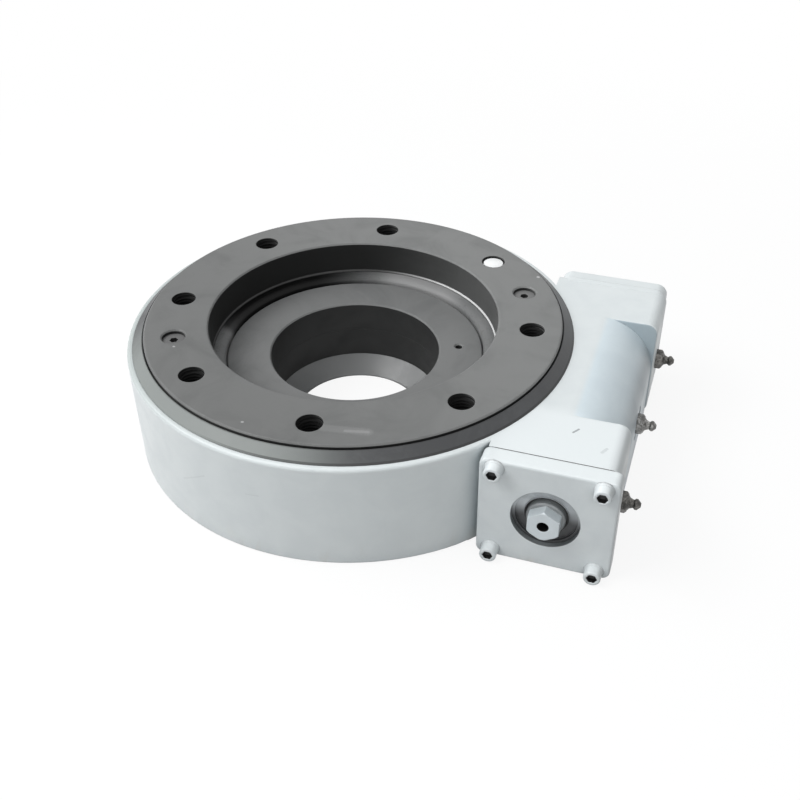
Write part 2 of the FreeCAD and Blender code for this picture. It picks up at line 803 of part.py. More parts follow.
def cover_screws(seat, reach):
    """Socket head screws about Z with the underside of their heads at a height."""
    end = cover_thickness + gasket_thickness + cover_screw_grip - seat_clearance
    top = seat - cover_screw_head_height
    screws = []
    for x, y in corners(reach):
        head = cylinder(cover_screw_head / 2, top, seat, x, y)
        shank = cylinder(cover_screw_diameter / 2, seat, end, x, y)
        socket = hexagon(cover_screw_socket, top, top + cover_screw_socket_depth, x, y)
        screws.append(head.fuse(shank).cut(socket))
    return Part.makeCompound(screws)


def make_cover_screws():
    washers = []
    for x, y in corners(cover_screw_reach):
        washer = cylinder(cover_washer_diameter / 2, -cover_washer_thickness, 0, x, y)
        hole = cylinder(cover_screw_diameter / 2 + seat_clearance, -cover_washer_thickness, 0, x, y)
        washers.append(washer.cut(hole))
    parts["drive_cover_washers"] = place_front(Part.makeCompound(washers))
    parts["drive_cover_screws"] = place_front(cover_screws(-cover_washer_thickness, cover_screw_reach))
    parts["rear_cover_screws"] = place_rear(cover_screws(rear_screw_sink, rear_screw_reach))


def make_oil_seal():
    outside = oil_seal_diameter / 2 - seat_clearance
    lip = seal_journal_diameter / 2 + oil_seal_lip
    low = oil_seal_sink
    high = oil_seal_sink + oil_seal_width
    rim = oil_seal_width / 4
    step = oil_seal_width / 7
    parts["oil_seal"] = place_front(turned([
        (lip, low + 2 * step),
        (lip + rim, low + step),
        (lip + rim, low + 2 * step),
        (outside - rim, low + 2 * step),
        (outside - rim, low),
        (outside, low),
        (outside, high),
        (outside - rim, high),
        (outside - rim, low + 4 * step),
        (lip + rim, low + 4 * step),
        (lip, low + 3 * step),
    ]))


make_housing()
make_inner_ring()
make_ring_screws()
make_slew_ring()
make_slew_rollers()
make_dust_seal()
make_inner_seal()
make_grease_plugs()
make_worm_shaft()
make_bearings()
make_covers()
make_gaskets()
make_cover_screws()
make_oil_seal()
make_nipples()

os.makedirs("parts", exist_ok=True)
for name, shape in parts.items():
    shape.exportStep("parts/" + name + ".step")
    print(name, "solids", len(shape.Solids), "valid", shape.isValid(), "volume", round(shape.Volume, 1))
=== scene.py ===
import json
import math

import bpy
from mathutils import Matrix, Quaternion, Vector


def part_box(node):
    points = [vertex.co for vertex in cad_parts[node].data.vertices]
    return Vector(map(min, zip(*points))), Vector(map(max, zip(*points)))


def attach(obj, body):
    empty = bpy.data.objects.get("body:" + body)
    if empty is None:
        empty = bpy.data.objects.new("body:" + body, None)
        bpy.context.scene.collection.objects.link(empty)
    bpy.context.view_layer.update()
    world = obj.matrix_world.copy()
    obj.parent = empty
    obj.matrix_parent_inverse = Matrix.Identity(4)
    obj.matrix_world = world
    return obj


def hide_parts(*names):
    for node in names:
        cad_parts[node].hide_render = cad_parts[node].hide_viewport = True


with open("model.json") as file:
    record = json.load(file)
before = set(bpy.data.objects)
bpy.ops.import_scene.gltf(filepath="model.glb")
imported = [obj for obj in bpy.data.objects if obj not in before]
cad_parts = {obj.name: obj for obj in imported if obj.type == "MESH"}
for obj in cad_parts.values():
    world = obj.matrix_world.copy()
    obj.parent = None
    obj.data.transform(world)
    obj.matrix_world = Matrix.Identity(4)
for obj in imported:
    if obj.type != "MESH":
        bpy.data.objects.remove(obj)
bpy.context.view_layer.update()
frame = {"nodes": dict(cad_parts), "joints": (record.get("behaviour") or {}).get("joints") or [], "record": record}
nodes = frame["nodes"]
mounts = {mount["name"]: mount for mount in frame["record"]["mounts"]}
joints = {joint["name"]: joint for joint in frame["joints"]}
mm = 0.001
print("frame loaded:", len(nodes), "nodes")

# Places the pieces share, all read from the frame
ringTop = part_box("slew_ring")[1].z
ringBody = "slew_ring"
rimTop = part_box("housing")[1].z
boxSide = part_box("housing")[1].x
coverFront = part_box("drive_end_cover")[0].y
wormPlace = Vector(joints["worm_spin"]["pos_m"])
boltHoles = mounts["ring_bolt_circle"]["dims"]


# Node helpers
def put(tree, kind, values=None, **settings):
    node = tree.nodes.new("ShaderNode" + kind)
    for key, value in settings.items():
        setattr(node, key, value)
    wire(tree, node.inputs, values or {})
    return node


def wire(tree, sockets, values):
    # a link where the value is a socket, a plain setting where it isn't
    for name, value in values.items():
        if isinstance(value, bpy.types.NodeSocket):
            tree.links.new(value, sockets[name])
        else:
            sockets[name].default_value = value


def calc(tree, operation, a, b=0.0, clamp=False):
    node = put(tree, "Math", {0: a, 1: b}, operation=operation, use_clamp=clamp)
    return node.outputs[0]


def times(tree, product, *factors):
    for factor in factors:
        product = calc(tree, "MULTIPLY", product, factor)
    return product


def vectorCalc(tree, operation, a, b=(0.0, 0.0, 0.0), output="Vector"):
    node = put(tree, "VectorMath", {0: a, 1: b}, operation=operation)
    return node.outputs[output]


def dot(tree, a, b):
    return vectorCalc(tree, "DOT_PRODUCT", a, b, "Value")


def length(tree, vector):
    return vectorCalc(tree, "LENGTH", vector, output="Value")


def flatten(tree, spot):
    return vectorCalc(tree, "MULTIPLY", spot, (1.0, 1.0, 0.0))


def split(tree, vector):
    return put(tree, "SeparateXYZ", {"Vector": vector}).outputs


def objectSpot(tree):
    return put(tree, "TexCoord").outputs["Object"]


def faceNormal(tree):
    return put(tree, "NewGeometry").outputs["Normal"]


def spread(tree, value, low, high, toLow=0.0, toHigh=1.0):
    names = {"Value": value, "From Min": low, "From Max": high, "To Min": toLow, "To Max": toHigh}
    return put(tree, "MapRange", names, interpolation_type="SMOOTHSTEP").outputs["Result"]


def blendColour(tree, factor, under, over, mode="MIX"):
    node = put(tree, "Mix", data_type="RGBA", blend_type=mode)
    wire(tree, node.inputs, {0: factor, 6: under, 7: over})   # 6 and 7 are the two colours
    return node.outputs[2]


def lay(tree, under, over, mask, share):
    return blendColour(tree, times(tree, mask, share), under, over)


def noise(tree, spot, scale, detail, roughness, distortion=0.0):
    values = {"Vector": spot, "Scale": scale, "Detail": detail, "Roughness": roughness}
    return put(tree, "TexNoise", {**values, "Distortion": distortion}).outputs["Fac"]


def bump(tree, height, strength, distance, normal):
    values = {"Height": height, "Strength": strength, "Distance": distance, "Normal": normal}
    return put(tree, "Bump", values).outputs["Normal"]


def grey(level, tint=(1.0, 1.0, 1.0)):
    return (level * tint[0], level * tint[1], level * tint[2], 1.0)


def newGroup(name, inputs, outputs):
    # an input without a value is a vector, and so is the output Normal
    tree = bpy.data.node_groups.new(name, "ShaderNodeTree")
    for label, value in inputs.items():
        kind = "NodeSocketVector" if value is None else "NodeSocketFloat"
        socket = tree.interface.new_socket(label, in_out="INPUT", socket_type=kind)
        if value is not None:
            socket.default_value = value
    for label in outputs:
        kind = "NodeSocketVector" if label == "Normal" else "NodeSocketFloat"
        tree.interface.new_socket(label, in_out="OUTPUT", socket_type=kind)
    entry = tree.nodes.new("NodeGroupInput").outputs
    leave = tree.nodes.new("NodeGroupOutput").inputs
    return tree, entry, leave


def place(tree, group, **values):
    node = tree.nodes.new("ShaderNodeGroup")
    node.node_tree = group
    wire(tree, node.inputs, values)
    return node.outputs


def newMaterial(name):
    material = bpy.data.materials.new(name)
    material.use_nodes = True
    tree = material.node_tree
    tree.nodes.clear()
    surface = put(tree, "OutputMaterial").inputs["Surface"]
    shader = put(tree, "BsdfPrincipled")
    tree.links.new(shader.outputs["BSDF"], surface)
    return material, tree, shader, objectSpot(tree)


def aboutWorm(tree, spot):
    # the worm's axis turned onto Z, so that marks run round it
    shifted = vectorCalc(tree, "SUBTRACT", spot, tuple(wormPlace))
    parts = split(tree, shifted)
    return put(tree, "CombineXYZ", {"X": parts["X"], "Y": parts["Z"], "Z": parts["Y"]}).outputs["Vector"]


wormShadeRise = (-0.3, 0.5)   # round the worm's end the lower side is painted dark as shade, the upper side light


def aboveShade(tree, flat):
    rise = dot(tree, vectorCalc(tree, "NORMALIZE", flat), (0.0, 1.0, 0.0))
    return spread(tree, rise, *wormShadeRise)


# Shared effects, each one node group
def makeEdgeRub():
    inputs = {"Radius": 0.6 * mm, "Gain": 3.0, "Break": 90.0}
    tree, entry, leave = newGroup("edgeRub", inputs, ["Edge", "Normal"])
    rounded = put(tree, "Bevel", {"Radius": entry["Radius"]}, samples=6).outputs["Normal"]
    bend = calc(tree, "SUBTRACT", 1.0, dot(tree, rounded, faceNormal(tree)))
    sharp = calc(tree, "MULTIPLY", bend, entry["Gain"], clamp=True)
    cloud = noise(tree, objectSpot(tree), entry["Break"], detail=4.0, roughness=0.6)
    patchy = spread(tree, cloud, low=0.3, high=0.62, toLow=0.25)
    wire(tree, leave, {"Edge": times(tree, sharp, patchy), "Normal": rounded})
    return tree


# Ambient occlusion mask that darkens hollows: used as dirt in the creases and as painted shade in the corners and
# gaps
def makeCornerDirtAndShade():
    inputs = {"Reach": 6 * mm, "Start": 0.25, "Scale": 70.0}
    tree, entry, leave = newGroup("cornerDirtAndShade", inputs, ["Mask"])
    clear = put(tree, "AmbientOcclusion", {"Distance": entry["Reach"]}, samples=6).outputs["AO"]
    hidden = spread(tree, calc(tree, "SUBTRACT", 1.0, clear), low=entry["Start"], high=0.95)
    cloud = noise(tree, objectSpot(tree), entry["Scale"], detail=5.0, roughness=0.65)
    patchy = spread(tree, cloud, low=0.25, high=0.6, toLow=0.3)
    wire(tree, leave, {"Mask": times(tree, hidden, patchy)})
    return tree


def makePaintSkin():
    inputs = {"Place": None, "Peel": 700.0, "Wave": 55.0}
    tree, entry, leave = newGroup("paintSkin", inputs, ["Height", "Mottle"])
    peelShare = 0.3
    peel = noise(tree, entry["Place"], entry["Peel"], detail=2.0, roughness=0.55)
    wave = noise(tree, entry["Place"], entry["Wave"], detail=4.0, roughness=0.6, distortion=0.4)
    height = calc(tree, "ADD", times(tree, peel, peelShare), wave)
    wire(tree, leave, {"Height": height, "Mottle": spread(tree, wave, low=0.3, high=0.7)})
    return tree


def makeLatheMarks():
    inputs = {"Place": None, "Pitch": 0.5 * mm, "Broad": 6 * mm}
    tree, entry, leave = newGroup("latheMarks", inputs, ["Height", "Sheen"])
    fineShare = 0.4
    reach = length(tree, flatten(tree, entry["Place"]))
    bands = []
    for width in (entry["Pitch"], entry["Broad"]):
        run = calc(tree, "DIVIDE", reach, width)
        band = put(tree, "TexNoise", {"W": run, "Scale": 1.0}, noise_dimensions="1D")
        bands.append(band.outputs["Fac"])
    fine, broad = bands
    sheen = calc(tree, "ADD", times(tree, fine, fineShare), times(tree, broad, 1.0 - fineShare))
    wire(tree, leave, {"Height": fine, "Sheen": sheen})
    return tree


def makeFlecks():
    inputs = {"Place": None, "Scale": 60.0, "Size": 0.06, "Share": 0.2}
    tree, entry, leave = newGroup("flecks", inputs, ["Mask"])
    leastSize = 0.6
    cell = put(tree, "TexVoronoi", {"Vector": entry["Place"], "Scale": entry["Scale"]}, feature="F1")
    pick = put(tree, "SeparateColor", {"Color": cell.outputs["Color"]}).outputs["Red"]
    chosen = calc(tree, "LESS_THAN", pick, entry["Share"])
    size = times(tree, entry["Size"], calc(tree, "ADD", pick, leastSize))
    far = calc(tree, "DIVIDE", cell.outputs["Distance"], size)
    near = calc(tree, "SUBTRACT", 1.0, far, clamp=True)
    wire(tree, leave, {"Mask": times(tree, chosen, spread(tree, near, low=0.0, high=0.4))})
    return tree


def makeSmear():
    inputs = {"Place": None, "Scale": 20.0, "Low": 0.45, "High": 0.75}
    tree, entry, leave = newGroup("smear", inputs, ["Mask"])
    cloud = noise(tree, entry["Place"], entry["Scale"], detail=6.0, roughness=0.6, distortion=0.8)
    wire(tree, leave, {"Mask": spread(tree, cloud, low=entry["Low"], high=entry["High"])})
    return tree


def makeStroke():
    inputs = {"Place": None, "Start": None, "End": None, "Width": 1 * mm}
    tree, entry, leave = newGroup("stroke", inputs, ["Mask"])
    leastWidth = 0.35
    raggedScale = 900.0
    run = vectorCalc(tree, "SUBTRACT", entry["End"], entry["Start"])
    here = vectorCalc(tree, "SUBTRACT", entry["Place"], entry["Start"])
    share = calc(tree, "DIVIDE", dot(tree, here, run), dot(tree, run, run), clamp=True)
    nearest = put(tree, "VectorMath", {0: run, "Scale": share}, operation="SCALE").outputs["Vector"]
    away = length(tree, vectorCalc(tree, "SUBTRACT", here, nearest))
    ragged = noise(tree, entry["Place"], raggedScale, detail=3.0, roughness=0.7)
    width = times(tree, entry["Width"], calc(tree, "ADD", ragged, leastWidth))
    near = calc(tree, "SUBTRACT", 1.0, calc(tree, "DIVIDE", away, width), clamp=True)
    wire(tree, leave, {"Mask": spread(tree, near, low=0.0, high=0.5)})
    return tree


edgeRub = makeEdgeRub()
cornerDirtAndShade = makeCornerDirtAndShade()
paintSkin = makePaintSkin()
latheMarks = makeLatheMarks()
flecks = makeFlecks()
smear = makeSmear()
stroke = makeStroke()
print("node groups made")


def scratch(tree, spot, colour, marks, chalk):
    for start, end, width, share in marks:
        mark = place(tree, stroke, Place=spot, Start=start, End=end, Width=width)["Mask"]
        colour = lay(tree, colour, chalk, mark, share)
    return colour


def patch(tree, look, where, facing):
    # a place on the surface, by the way it faces and its run along X and Y
    mask = spread(tree, facing, *look["facing"])
    for axis in ("X", "Y"):
        if axis in look:
            mask = times(tree, mask, spread(tree, where[axis], *look[axis]))
    return mask


# Paint on the castings; a range of four is from, to and the values there
housingPaint = {
    "colour": (0.705, 0.745, 0.752, 1.0),
    "shade": (0.675, 0.715, 0.725, 1.0),         # the darker clouds in the coat
    "rough": (0.34, 0.46),
    "peel": 650.0,
    "bumpStrength": 0.35,
    "bumpDepth": 0.4 * mm,
    "edge": {"Radius": 0.9 * mm, "Gain": 1.6},
    "edgeColour": grey(0.84),
    "pale": 0.3,                                 # how far the edges go to that colour: worn thin paint and a painted highlight
    "lumpScale": 210.0,
    "lump": 0.5,
    "litTopLump": 0.35,
    # painted light: whiter top at the box's front end, a pool of light painted into the coat
    "litTop": {"colour": (0.76, 0.8, 0.81, 1.0), "facing": (0.6, 0.9),
              "X": (95 * mm, 110 * mm), "Y": (-50 * mm, -38 * mm, 1.0, 0.0)},
    # painted shade: darker right side of that end, which faces away from the light
    "side": {"colour": (0.52, 0.55, 0.555, 1.0), "facing": (0.45, 0.85),
             "X": (155 * mm, 162 * mm), "Y": (-50 * mm, -40 * mm, 1.0, 0.0)},
    # the rim's worn top, most on the left, darkened further as painted shade that damps the lamp's highlight on
    # its rounded edge
    "dullAndShaded": {"colour": (0.40, 0.44, 0.43, 1.0), "facing": (0.15, 0.6), "X": (-118 * mm, 10 * mm, 1.0, 0.0)},
    "dullAndShadedShare": 0.8,
    "rust": (0.50, 0.42, 0.33, 1.0),             # thin brown stain near the base
    "rustHeight": 16 * mm,
    "rustShare": 0.4,
    "stain": {"Scale": 42.0, "Low": 0.52, "High": 0.8},
    "stainRun": (1.0, 1.0, 0.35),                # drawn out downwards
    # dark colour of the dirt specks, of the creases' dirt and painted shade, and of the painted shade under the
    # worm's end
    "grimeAndShade": (0.17, 0.185, 0.19, 1.0),
    "specks": {"Scale": 110.0, "Size": 0.06, "Share": 0.06},
    "speckShare": 0.25,
    "creviceDirtAndShade": {"Reach": 4 * mm, "Start": 0.45},
    "creviceDirtAndShadeShare": 0.75,
    "scuffs": [((0.1388, -0.0598, 0.063), (0.1411, -0.0564, 0.063), 0.8 * mm, 0.8),
               ((0.1553, -0.0708, 0.063), (0.1570, -0.0674, 0.063), 1.3 * mm, 0.25),
               ((-0.0526, -0.1169, 0.0295), (-0.0365, -0.1229, 0.0402), 0.7 * mm, 0.12),
               ((-0.0109, -0.1277, 0.0391), (-0.0040, -0.1281, 0.0400), 0.7 * mm, 0.1)],
    "scuff": (0.25, 0.27, 0.28, 1.0),
    "corner": (0.52, 0.56, 0.58, 1.0),           # painted shade: dimmer in the wide corners, not on top
    "cornerShadeReach": {"Reach": 20 * mm, "Start": 0.3, "Scale": 25.0},
    "cornerShadeFacing": (0.2, 0.7, 1.0, 0.0),
    "cornerShadeShare": 0.9,
    # the worm barrel's coat, thin and bluish, to the right of the worm's axis, with painted shade on its right
    # flank and on the faces at its end that look to the front
    "barrel": {"run": (-45.6 * mm, 50.4 * mm), "right": (1 * mm, 5 * mm), "facing": (-0.8, -0.5),
               "tint": (0.945, 1.005, 1.05, 1.0),
               "flank": (0.58, 0.61, 0.635, 1.0), "flankShadeFacing": (0.35, 0.7, 1.0, 0.0),
               "wallShadeFacing": (-0.1, 0.3, 0.4, 1.0),
               "step": (0.605, 0.67, 0.715, 1.0), "stepShadeFacing": (-0.9, -0.6, 1.0, 0.0)},
    "bare": (0.195, 0.2, 0.201, 1.0),            # machined floor inside the inner ring
    "bareRadius": 70 * mm,
    "boreRadius": 0.0,
}
coverPaint = {
    **housingPaint,
    "colour": (0.685, 0.725, 0.735, 1.0),
    "shade": (0.635, 0.675, 0.69, 1.0),
    "peel": 480.0,
    "bumpDepth": 0.6 * mm,
    # edges much paler on the covers: worn thin paint and a painted highlight on the lumpy coat
    "pale": 0.85,
    "lump": 2.2,
    "rustHeight": 6 * mm,
    "scuffs": [],
    "barrel": None,
    "bareRadius": 0.0,
    "boreRadius": 17.75 * mm,                    # the oil seal's bore is left unpainted
    "bore": (0.5, 0.53, 0.55, 1.0),
}


def barrelShade(tree, look, where, facing):
    right = spread(tree, where["X"], wormPlace.x + look["right"][0], wormPlace.x + look["right"][1])
    ahead = calc(tree, "GREATER_THAN", where["Y"], look["run"][0])
    behind = calc(tree, "LESS_THAN", where["Y"], look["run"][1])
    within = times(tree, right, times(tree, ahead, behind), spread(tree, facing["Z"], *look["facing"]))
    # painted shade on the barrel's right flank and on the step faces that look to the front
    flank = spread(tree, facing["Z"], *look["flankShadeFacing"])
    flank = times(tree, flank, spread(tree, facing["Z"], *look["wallShadeFacing"]))
    tint = blendColour(tree, flank, look["tint"], look["flank"])
    tint = blendColour(tree, spread(tree, facing["Y"], *look["stepShadeFacing"]), tint, look["step"])
    return blendColour(tree, within, grey(1.0), tint)


def paintMaterial(name, look):
    material, tree, shader, spot = newMaterial(name)
    skin = place(tree, paintSkin, Place=spot, Peel=look["peel"])
    edge = place(tree, edgeRub, **look["edge"])
    where = split(tree, spot)
    facing = split(tree, faceNormal(tree))
    colour = blendColour(tree, skin["Mottle"], look["colour"], look["shade"])
    # painted light on the box's front top
    front = patch(tree, look["litTop"], where, facing["Z"])
    colour = blendColour(tree, front, colour, look["litTop"]["colour"])
    # painted shade on the right side of the box's front end
    side = patch(tree, look["side"], where, facing["X"])
    colour = blendColour(tree, side, colour, look["side"]["colour"])
    # edges lighter: worn thin paint and a painted highlight
    colour = lay(tree, colour, look["edgeColour"], edge["Edge"], look["pale"])
    drawnOut = vectorCalc(tree, "MULTIPLY", spot, look["stainRun"])
    stain = place(tree, smear, Place=drawnOut, **look["stain"])["Mask"]
    stain = times(tree, stain, spread(tree, where["Z"], 0.0, look["rustHeight"], 1.0, 0.0))
    colour = lay(tree, colour, look["rust"], stain, look["rustShare"])
    # wear and painted shade on the rim's top and rounded edge, most on the left
    dullAndShaded = patch(tree, look["dullAndShaded"], where, facing["Z"])
    colour = lay(tree, colour, look["dullAndShaded"]["colour"], dullAndShaded, look["dullAndShadedShare"])
    speck = place(tree, flecks, Place=spot, **look["specks"])["Mask"]
    colour = lay(tree, colour, look["grimeAndShade"], speck, look["speckShare"])
    # dirt and painted shade in the creases and in the gaps between parts
    creviceDirtAndShade = place(tree, cornerDirtAndShade, **look["creviceDirtAndShade"])["Mask"]
    colour = lay(tree, colour, look["grimeAndShade"], creviceDirtAndShade, look["creviceDirtAndShadeShare"])
    colour = scratch(tree, spot, colour, look["scuffs"], look["scuff"])
    # painted shade in the wide corners
    corner = place(tree, cornerDirtAndShade, **look["cornerShadeReach"])["Mask"]
    corner = times(tree, corner, spread(tree, facing["Z"], *look["cornerShadeFacing"]))
    dim = lay(tree, grey(1.0), look["corner"], corner, look["cornerShadeShare"])
    colour = blendColour(tree, 1.0, colour, dim, "MULTIPLY")
    if look["barrel"]:
        tint = barrelShade(tree, look["barrel"], where, facing)
        colour = blendColour(tree, 1.0, colour, tint, "MULTIPLY")
    if look["boreRadius"]:
        flat = flatten(tree, aboutWorm(tree, spot))
        cut = calc(tree, "LESS_THAN", length(tree, flat), look["boreRadius"])
        # painted shade: the bore's lower side takes the dark colour
        bore = blendColour(tree, aboveShade(tree, flat), look["grimeAndShade"], look["bore"])
        colour = blendColour(tree, cut, colour, bore)
    if look["bareRadius"]:
        cut = calc(tree, "LESS_THAN", length(tree, flatten(tree, spot)), look["bareRadius"])
        colour = blendColour(tree, cut, colour, look["bare"])
    lumps = noise(tree, spot, look["lumpScale"], detail=2.0, roughness=0.5)
    lumpy = calc(tree, "MAXIMUM", edge["Edge"], times(tree, front, look["litTopLump"]))
    height = calc(tree, "ADD", skin["Height"], times(tree, lumps, lumpy, look["lump"]))
    wire(tree, shader.inputs, {
        "Base Color": colour,
        "Roughness": spread(tree, skin["Mottle"], 0.0, 1.0, *look["rough"]),
        "Normal": bump(tree, height, look["bumpStrength"], look["bumpDepth"], edge["Normal"]),
    })
    return material


# What the turned and plated steels share
turnedSteel = {
    "clouds": 26.0,
    "cloudRange": {"Low": 0.4, "High": 0.72},
    "fine": {"Scale": 240.0, "Low": 0.55, "High": 0.85},
    "fineShare": 0.25,
    "specks": {"Scale": 75.0, "Size": 0.045, "Share": 0.05},
    "speckShare": 0.5,
    "edgeRadius": 0.5 * mm,
    "edgeGain": 1.0,
    "edgeBreak": 120.0,
    "wornFrom": 0.0,                             # edges closer to the axis are lightened less
    "wornLess": 0.35,
    "wall": (1.0, 1.0),                          # painted shade on upright faces, its factor from those facing -X to those facing +X
    "wallShadeFacing": (-0.9, 0.35),
    "levelFacing": (0.15, 0.6),
    "lean": None,                                # painted light: darker towards the left front, lighter towards the right rear
    "leanTowards": (0.77, 0.64, 0.0),
    "leanRun": (-100 * mm, 100 * mm),
    "lip": None,
    "core": 0.0,                                 # radius of the hole in the end, painted near black as shade
    "coreShade": grey(0.012),
    "collar": None,                              # greasy from here on along Y
    "grease": grey(0.1),
    "greaseShare": 0.75,
    "cloudRough": 0.5,
    "roughFrom": (0.1, 0.8),
    "bumpStrength": 0.12,
    "bumpDepth": 0.05 * mm,
    "strokes": [],
    "chalk": grey(0.8),
}

# Turned steel of the ring, dark from its phosphate and oil
ringSteel = {
    **turnedSteel,
    "colour": grey(0.184, (0.985, 1.0, 0.99)),
    "cloud": grey(0.157, (0.98, 1.0, 0.99)),
    "bare": grey(0.36),
    # painted shade on the upright walls, darkest where they face +X, and painted light across the face
    "wall": (0.47, 0.1),
    "lean": (0.84, 1.14),
    # polished lip at the foot of the bore, with a painted highlight where it faces left and painted shade where it
    # faces right
    "lip": {"radius": 82.6 * mm, "below": 51.6 * mm, "facing": 0.5, "turned": (-0.5, 0.15),
            "paintedHighlight": grey(0.65), "paintedShade": grey(0.05), "smoother": 0.2},
    "rough": (0.4, 0.54),
    "pitch": 0.45 * mm,
    # wide light outer edge: worn steel and a painted highlight
    "edgeRadius": 0.9 * mm,
    "edgeGain": 2.6,
    "wornFrom": 110 * mm,
    "strokes": [((0.0335, -0.1010, 0.070), (0.0445, -0.0985, 0.070), 1.5 * mm, 0.2),
                ((0.0225, -0.1020, 0.070), (0.0445, -0.0985, 0.070), 4.0 * mm, 0.12),
                ((-0.0180, -0.1100, 0.070), (-0.0177, -0.1100, 0.070), 1.0 * mm, 0.8),
                ((-0.0825, -0.0606, 0.070), (-0.0822, -0.0606, 0.070), 0.9 * mm, 0.8),
                ((0.0910, 0.0714, 0.070), (0.0913, 0.0714, 0.070), 1.3 * mm, 0.8)],
    "chalk": grey(0.5),
    "metal": 0.05,
    "specular": 0.2,
}
innerSteel = {
    **ringSteel,
    "colour": grey(0.178, (0.985, 1.0, 0.995)),
    "cloud": grey(0.151, (0.98, 1.0, 1.0)),
    # painted shade on the upright walls and painted light across the face
    "wall": (0.2, 0.2),
    "lean": (0.97, 1.09),
    "lip": None,
    "edgeRadius": 0.5 * mm,
    "edgeGain": 1.6,
    "wornFrom": 0.0,
    "strokes": [],
}
plugSteel = {**innerSteel, "colour": grey(0.17), "cloud": grey(0.12)}
# threads painted near black, as shade deep in the bolt holes
threadSteel = {
    **innerSteel,
    "colour": grey(0.012),
    "cloud": grey(0.009),
    "bare": grey(0.018),
    "wall": (1.0, 1.0),
    "lean": None,
    "rough": (0.7, 0.85),
    "metal": 0.0,
    "specular": 0.12,
}

# Bright and plated steel
shaftSteel = {
    **turnedSteel,
    "colour": (0.62, 0.675, 0.70, 1.0),
    "cloud": (0.54, 0.585, 0.61, 1.0),
    "bare": grey(0.70),
    "core": 3.0 * mm,
    "collar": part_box("worm_shaft")[0].y + 5.8 * mm,
    "rough": (0.36, 0.5),
    "pitch": 0.3 * mm,
    "metal": 0.3,
    "specular": 0.5,
}
bearingSteel = {
    **shaftSteel,
    "colour": grey(0.7),
    "cloud": grey(0.6),
    "core": 0.0,
    "collar": None,
    "rough": (0.12, 0.22),
    "metal": 1.0,
}
cageSteel = {**bearingSteel, "colour": grey(0.42), "cloud": grey(0.34), "rough": (0.32, 0.5)}
blackSteel = {
    **bearingSteel,
    "colour": grey(0.03),
    "cloud": grey(0.02),
    "bare": grey(0.12),
    "rough": (0.36, 0.5),
    "metal": 0.2,
}
nippleSteel = {
    **bearingSteel,
    "colour": (0.05, 0.048, 0.045, 1.0),
    "cloud": (0.24, 0.23, 0.215, 1.0),
    "clouds": 330.0,
    "bare": grey(0.42),
    "rough": (0.28, 0.44),
    "metal": 0.5,
}
nippleZinc = {
    **nippleSteel,
    "colour": (0.12, 0.117, 0.112, 1.0),
    "cloud": (0.55, 0.545, 0.53, 1.0),
    "bare": grey(0.65),
}


def turnedMaterial(name, look, turnPlace=None):
    material, tree, shader, spot = newMaterial(name)
    about = turnPlace(tree, spot) if turnPlace else spot
    where = split(tree, spot)
    facing = split(tree, faceNormal(tree))
    reach = length(tree, flatten(tree, about))
    marks = place(tree, latheMarks, Place=about, Pitch=look["pitch"])
    edge = place(tree, edgeRub, Radius=look["edgeRadius"], Gain=look["edgeGain"], Break=look["edgeBreak"])
    # edges lighter: wear, and on the ring's outer edge also a painted highlight
    rubbedAndLit = calc(tree, "GREATER_THAN", reach, look["wornFrom"])
    rubbedAndLit = times(tree, calc(tree, "ADD", rubbedAndLit, look["wornLess"], clamp=True), edge["Edge"])
    cloud = place(tree, smear, Place=spot, Scale=look["clouds"], **look["cloudRange"])["Mask"]
    colour = blendColour(tree, cloud, look["colour"], look["cloud"])
    fine = place(tree, smear, Place=spot, **look["fine"])["Mask"]
    colour = lay(tree, colour, look["cloud"], fine, look["fineShare"])
    speck = place(tree, flecks, Place=spot, **look["specks"])["Mask"]
    colour = lay(tree, colour, look["bare"], speck, look["speckShare"])
    colour = blendColour(tree, rubbedAndLit, colour, look["bare"])
    colour = scratch(tree, spot, colour, look["strokes"], look["chalk"])
    # painted shade on upright faces
    uprightShade = spread(tree, facing["X"], *look["wallShadeFacing"], *look["wall"])
    level = spread(tree, calc(tree, "ABSOLUTE", facing["Z"]), *look["levelFacing"], uprightShade, 1.0)
    # painted light: the face lightens towards the right rear
    if look["lean"]:
        across = dot(tree, spot, look["leanTowards"])
        level = times(tree, level, spread(tree, across, *look["leanRun"], *look["lean"]))
    shade = put(tree, "CombineColor", {"Red": level, "Green": level, "Blue": level}).outputs["Color"]
    colour = blendColour(tree, 1.0, colour, shade, "MULTIPLY")
    matt = times(tree, cloud, look["cloudRough"])
    matt = calc(tree, "ADD", matt, times(tree, marks["Sheen"], 1.0 - look["cloudRough"]))
    rough = spread(tree, matt, *look["roughFrom"], *look["rough"])
    if look["lip"]:
        lip = look["lip"]
        low = calc(tree, "LESS_THAN", where["Z"], lip["below"])
        inside = calc(tree, "LESS_THAN", reach, lip["radius"])
        onLip = times(tree, low, inside, calc(tree, "GREATER_THAN", facing["Z"], lip["facing"]))
        # painted highlight and painted shade on the lip, by the way it faces
        litPolish = blendColour(tree, spread(tree, facing["X"], *lip["turned"]), lip["paintedHighlight"], lip["paintedShade"])
        colour = blendColour(tree, onLip, colour, litPolish)
        rough = calc(tree, "SUBTRACT", rough, times(tree, onLip, lip["smoother"]))
    # painted shade inside the hole in the shaft's end
    if look["core"]:
        bored = calc(tree, "LESS_THAN", reach, look["core"])
        colour = blendColour(tree, bored, colour, look["coreShade"])
    if look["collar"]:
        greasy = calc(tree, "GREATER_THAN", where["Y"], look["collar"])
        colour = lay(tree, colour, look["grease"], greasy, look["greaseShare"])
    wire(tree, shader.inputs, {
        "Base Color": colour,
        "Roughness": rough,
        "Normal": bump(tree, marks["Height"], look["bumpStrength"], look["bumpDepth"], edge["Normal"]),
        "Metallic": look["metal"],
        "Specular IOR Level": look["specular"],
    })
    return material


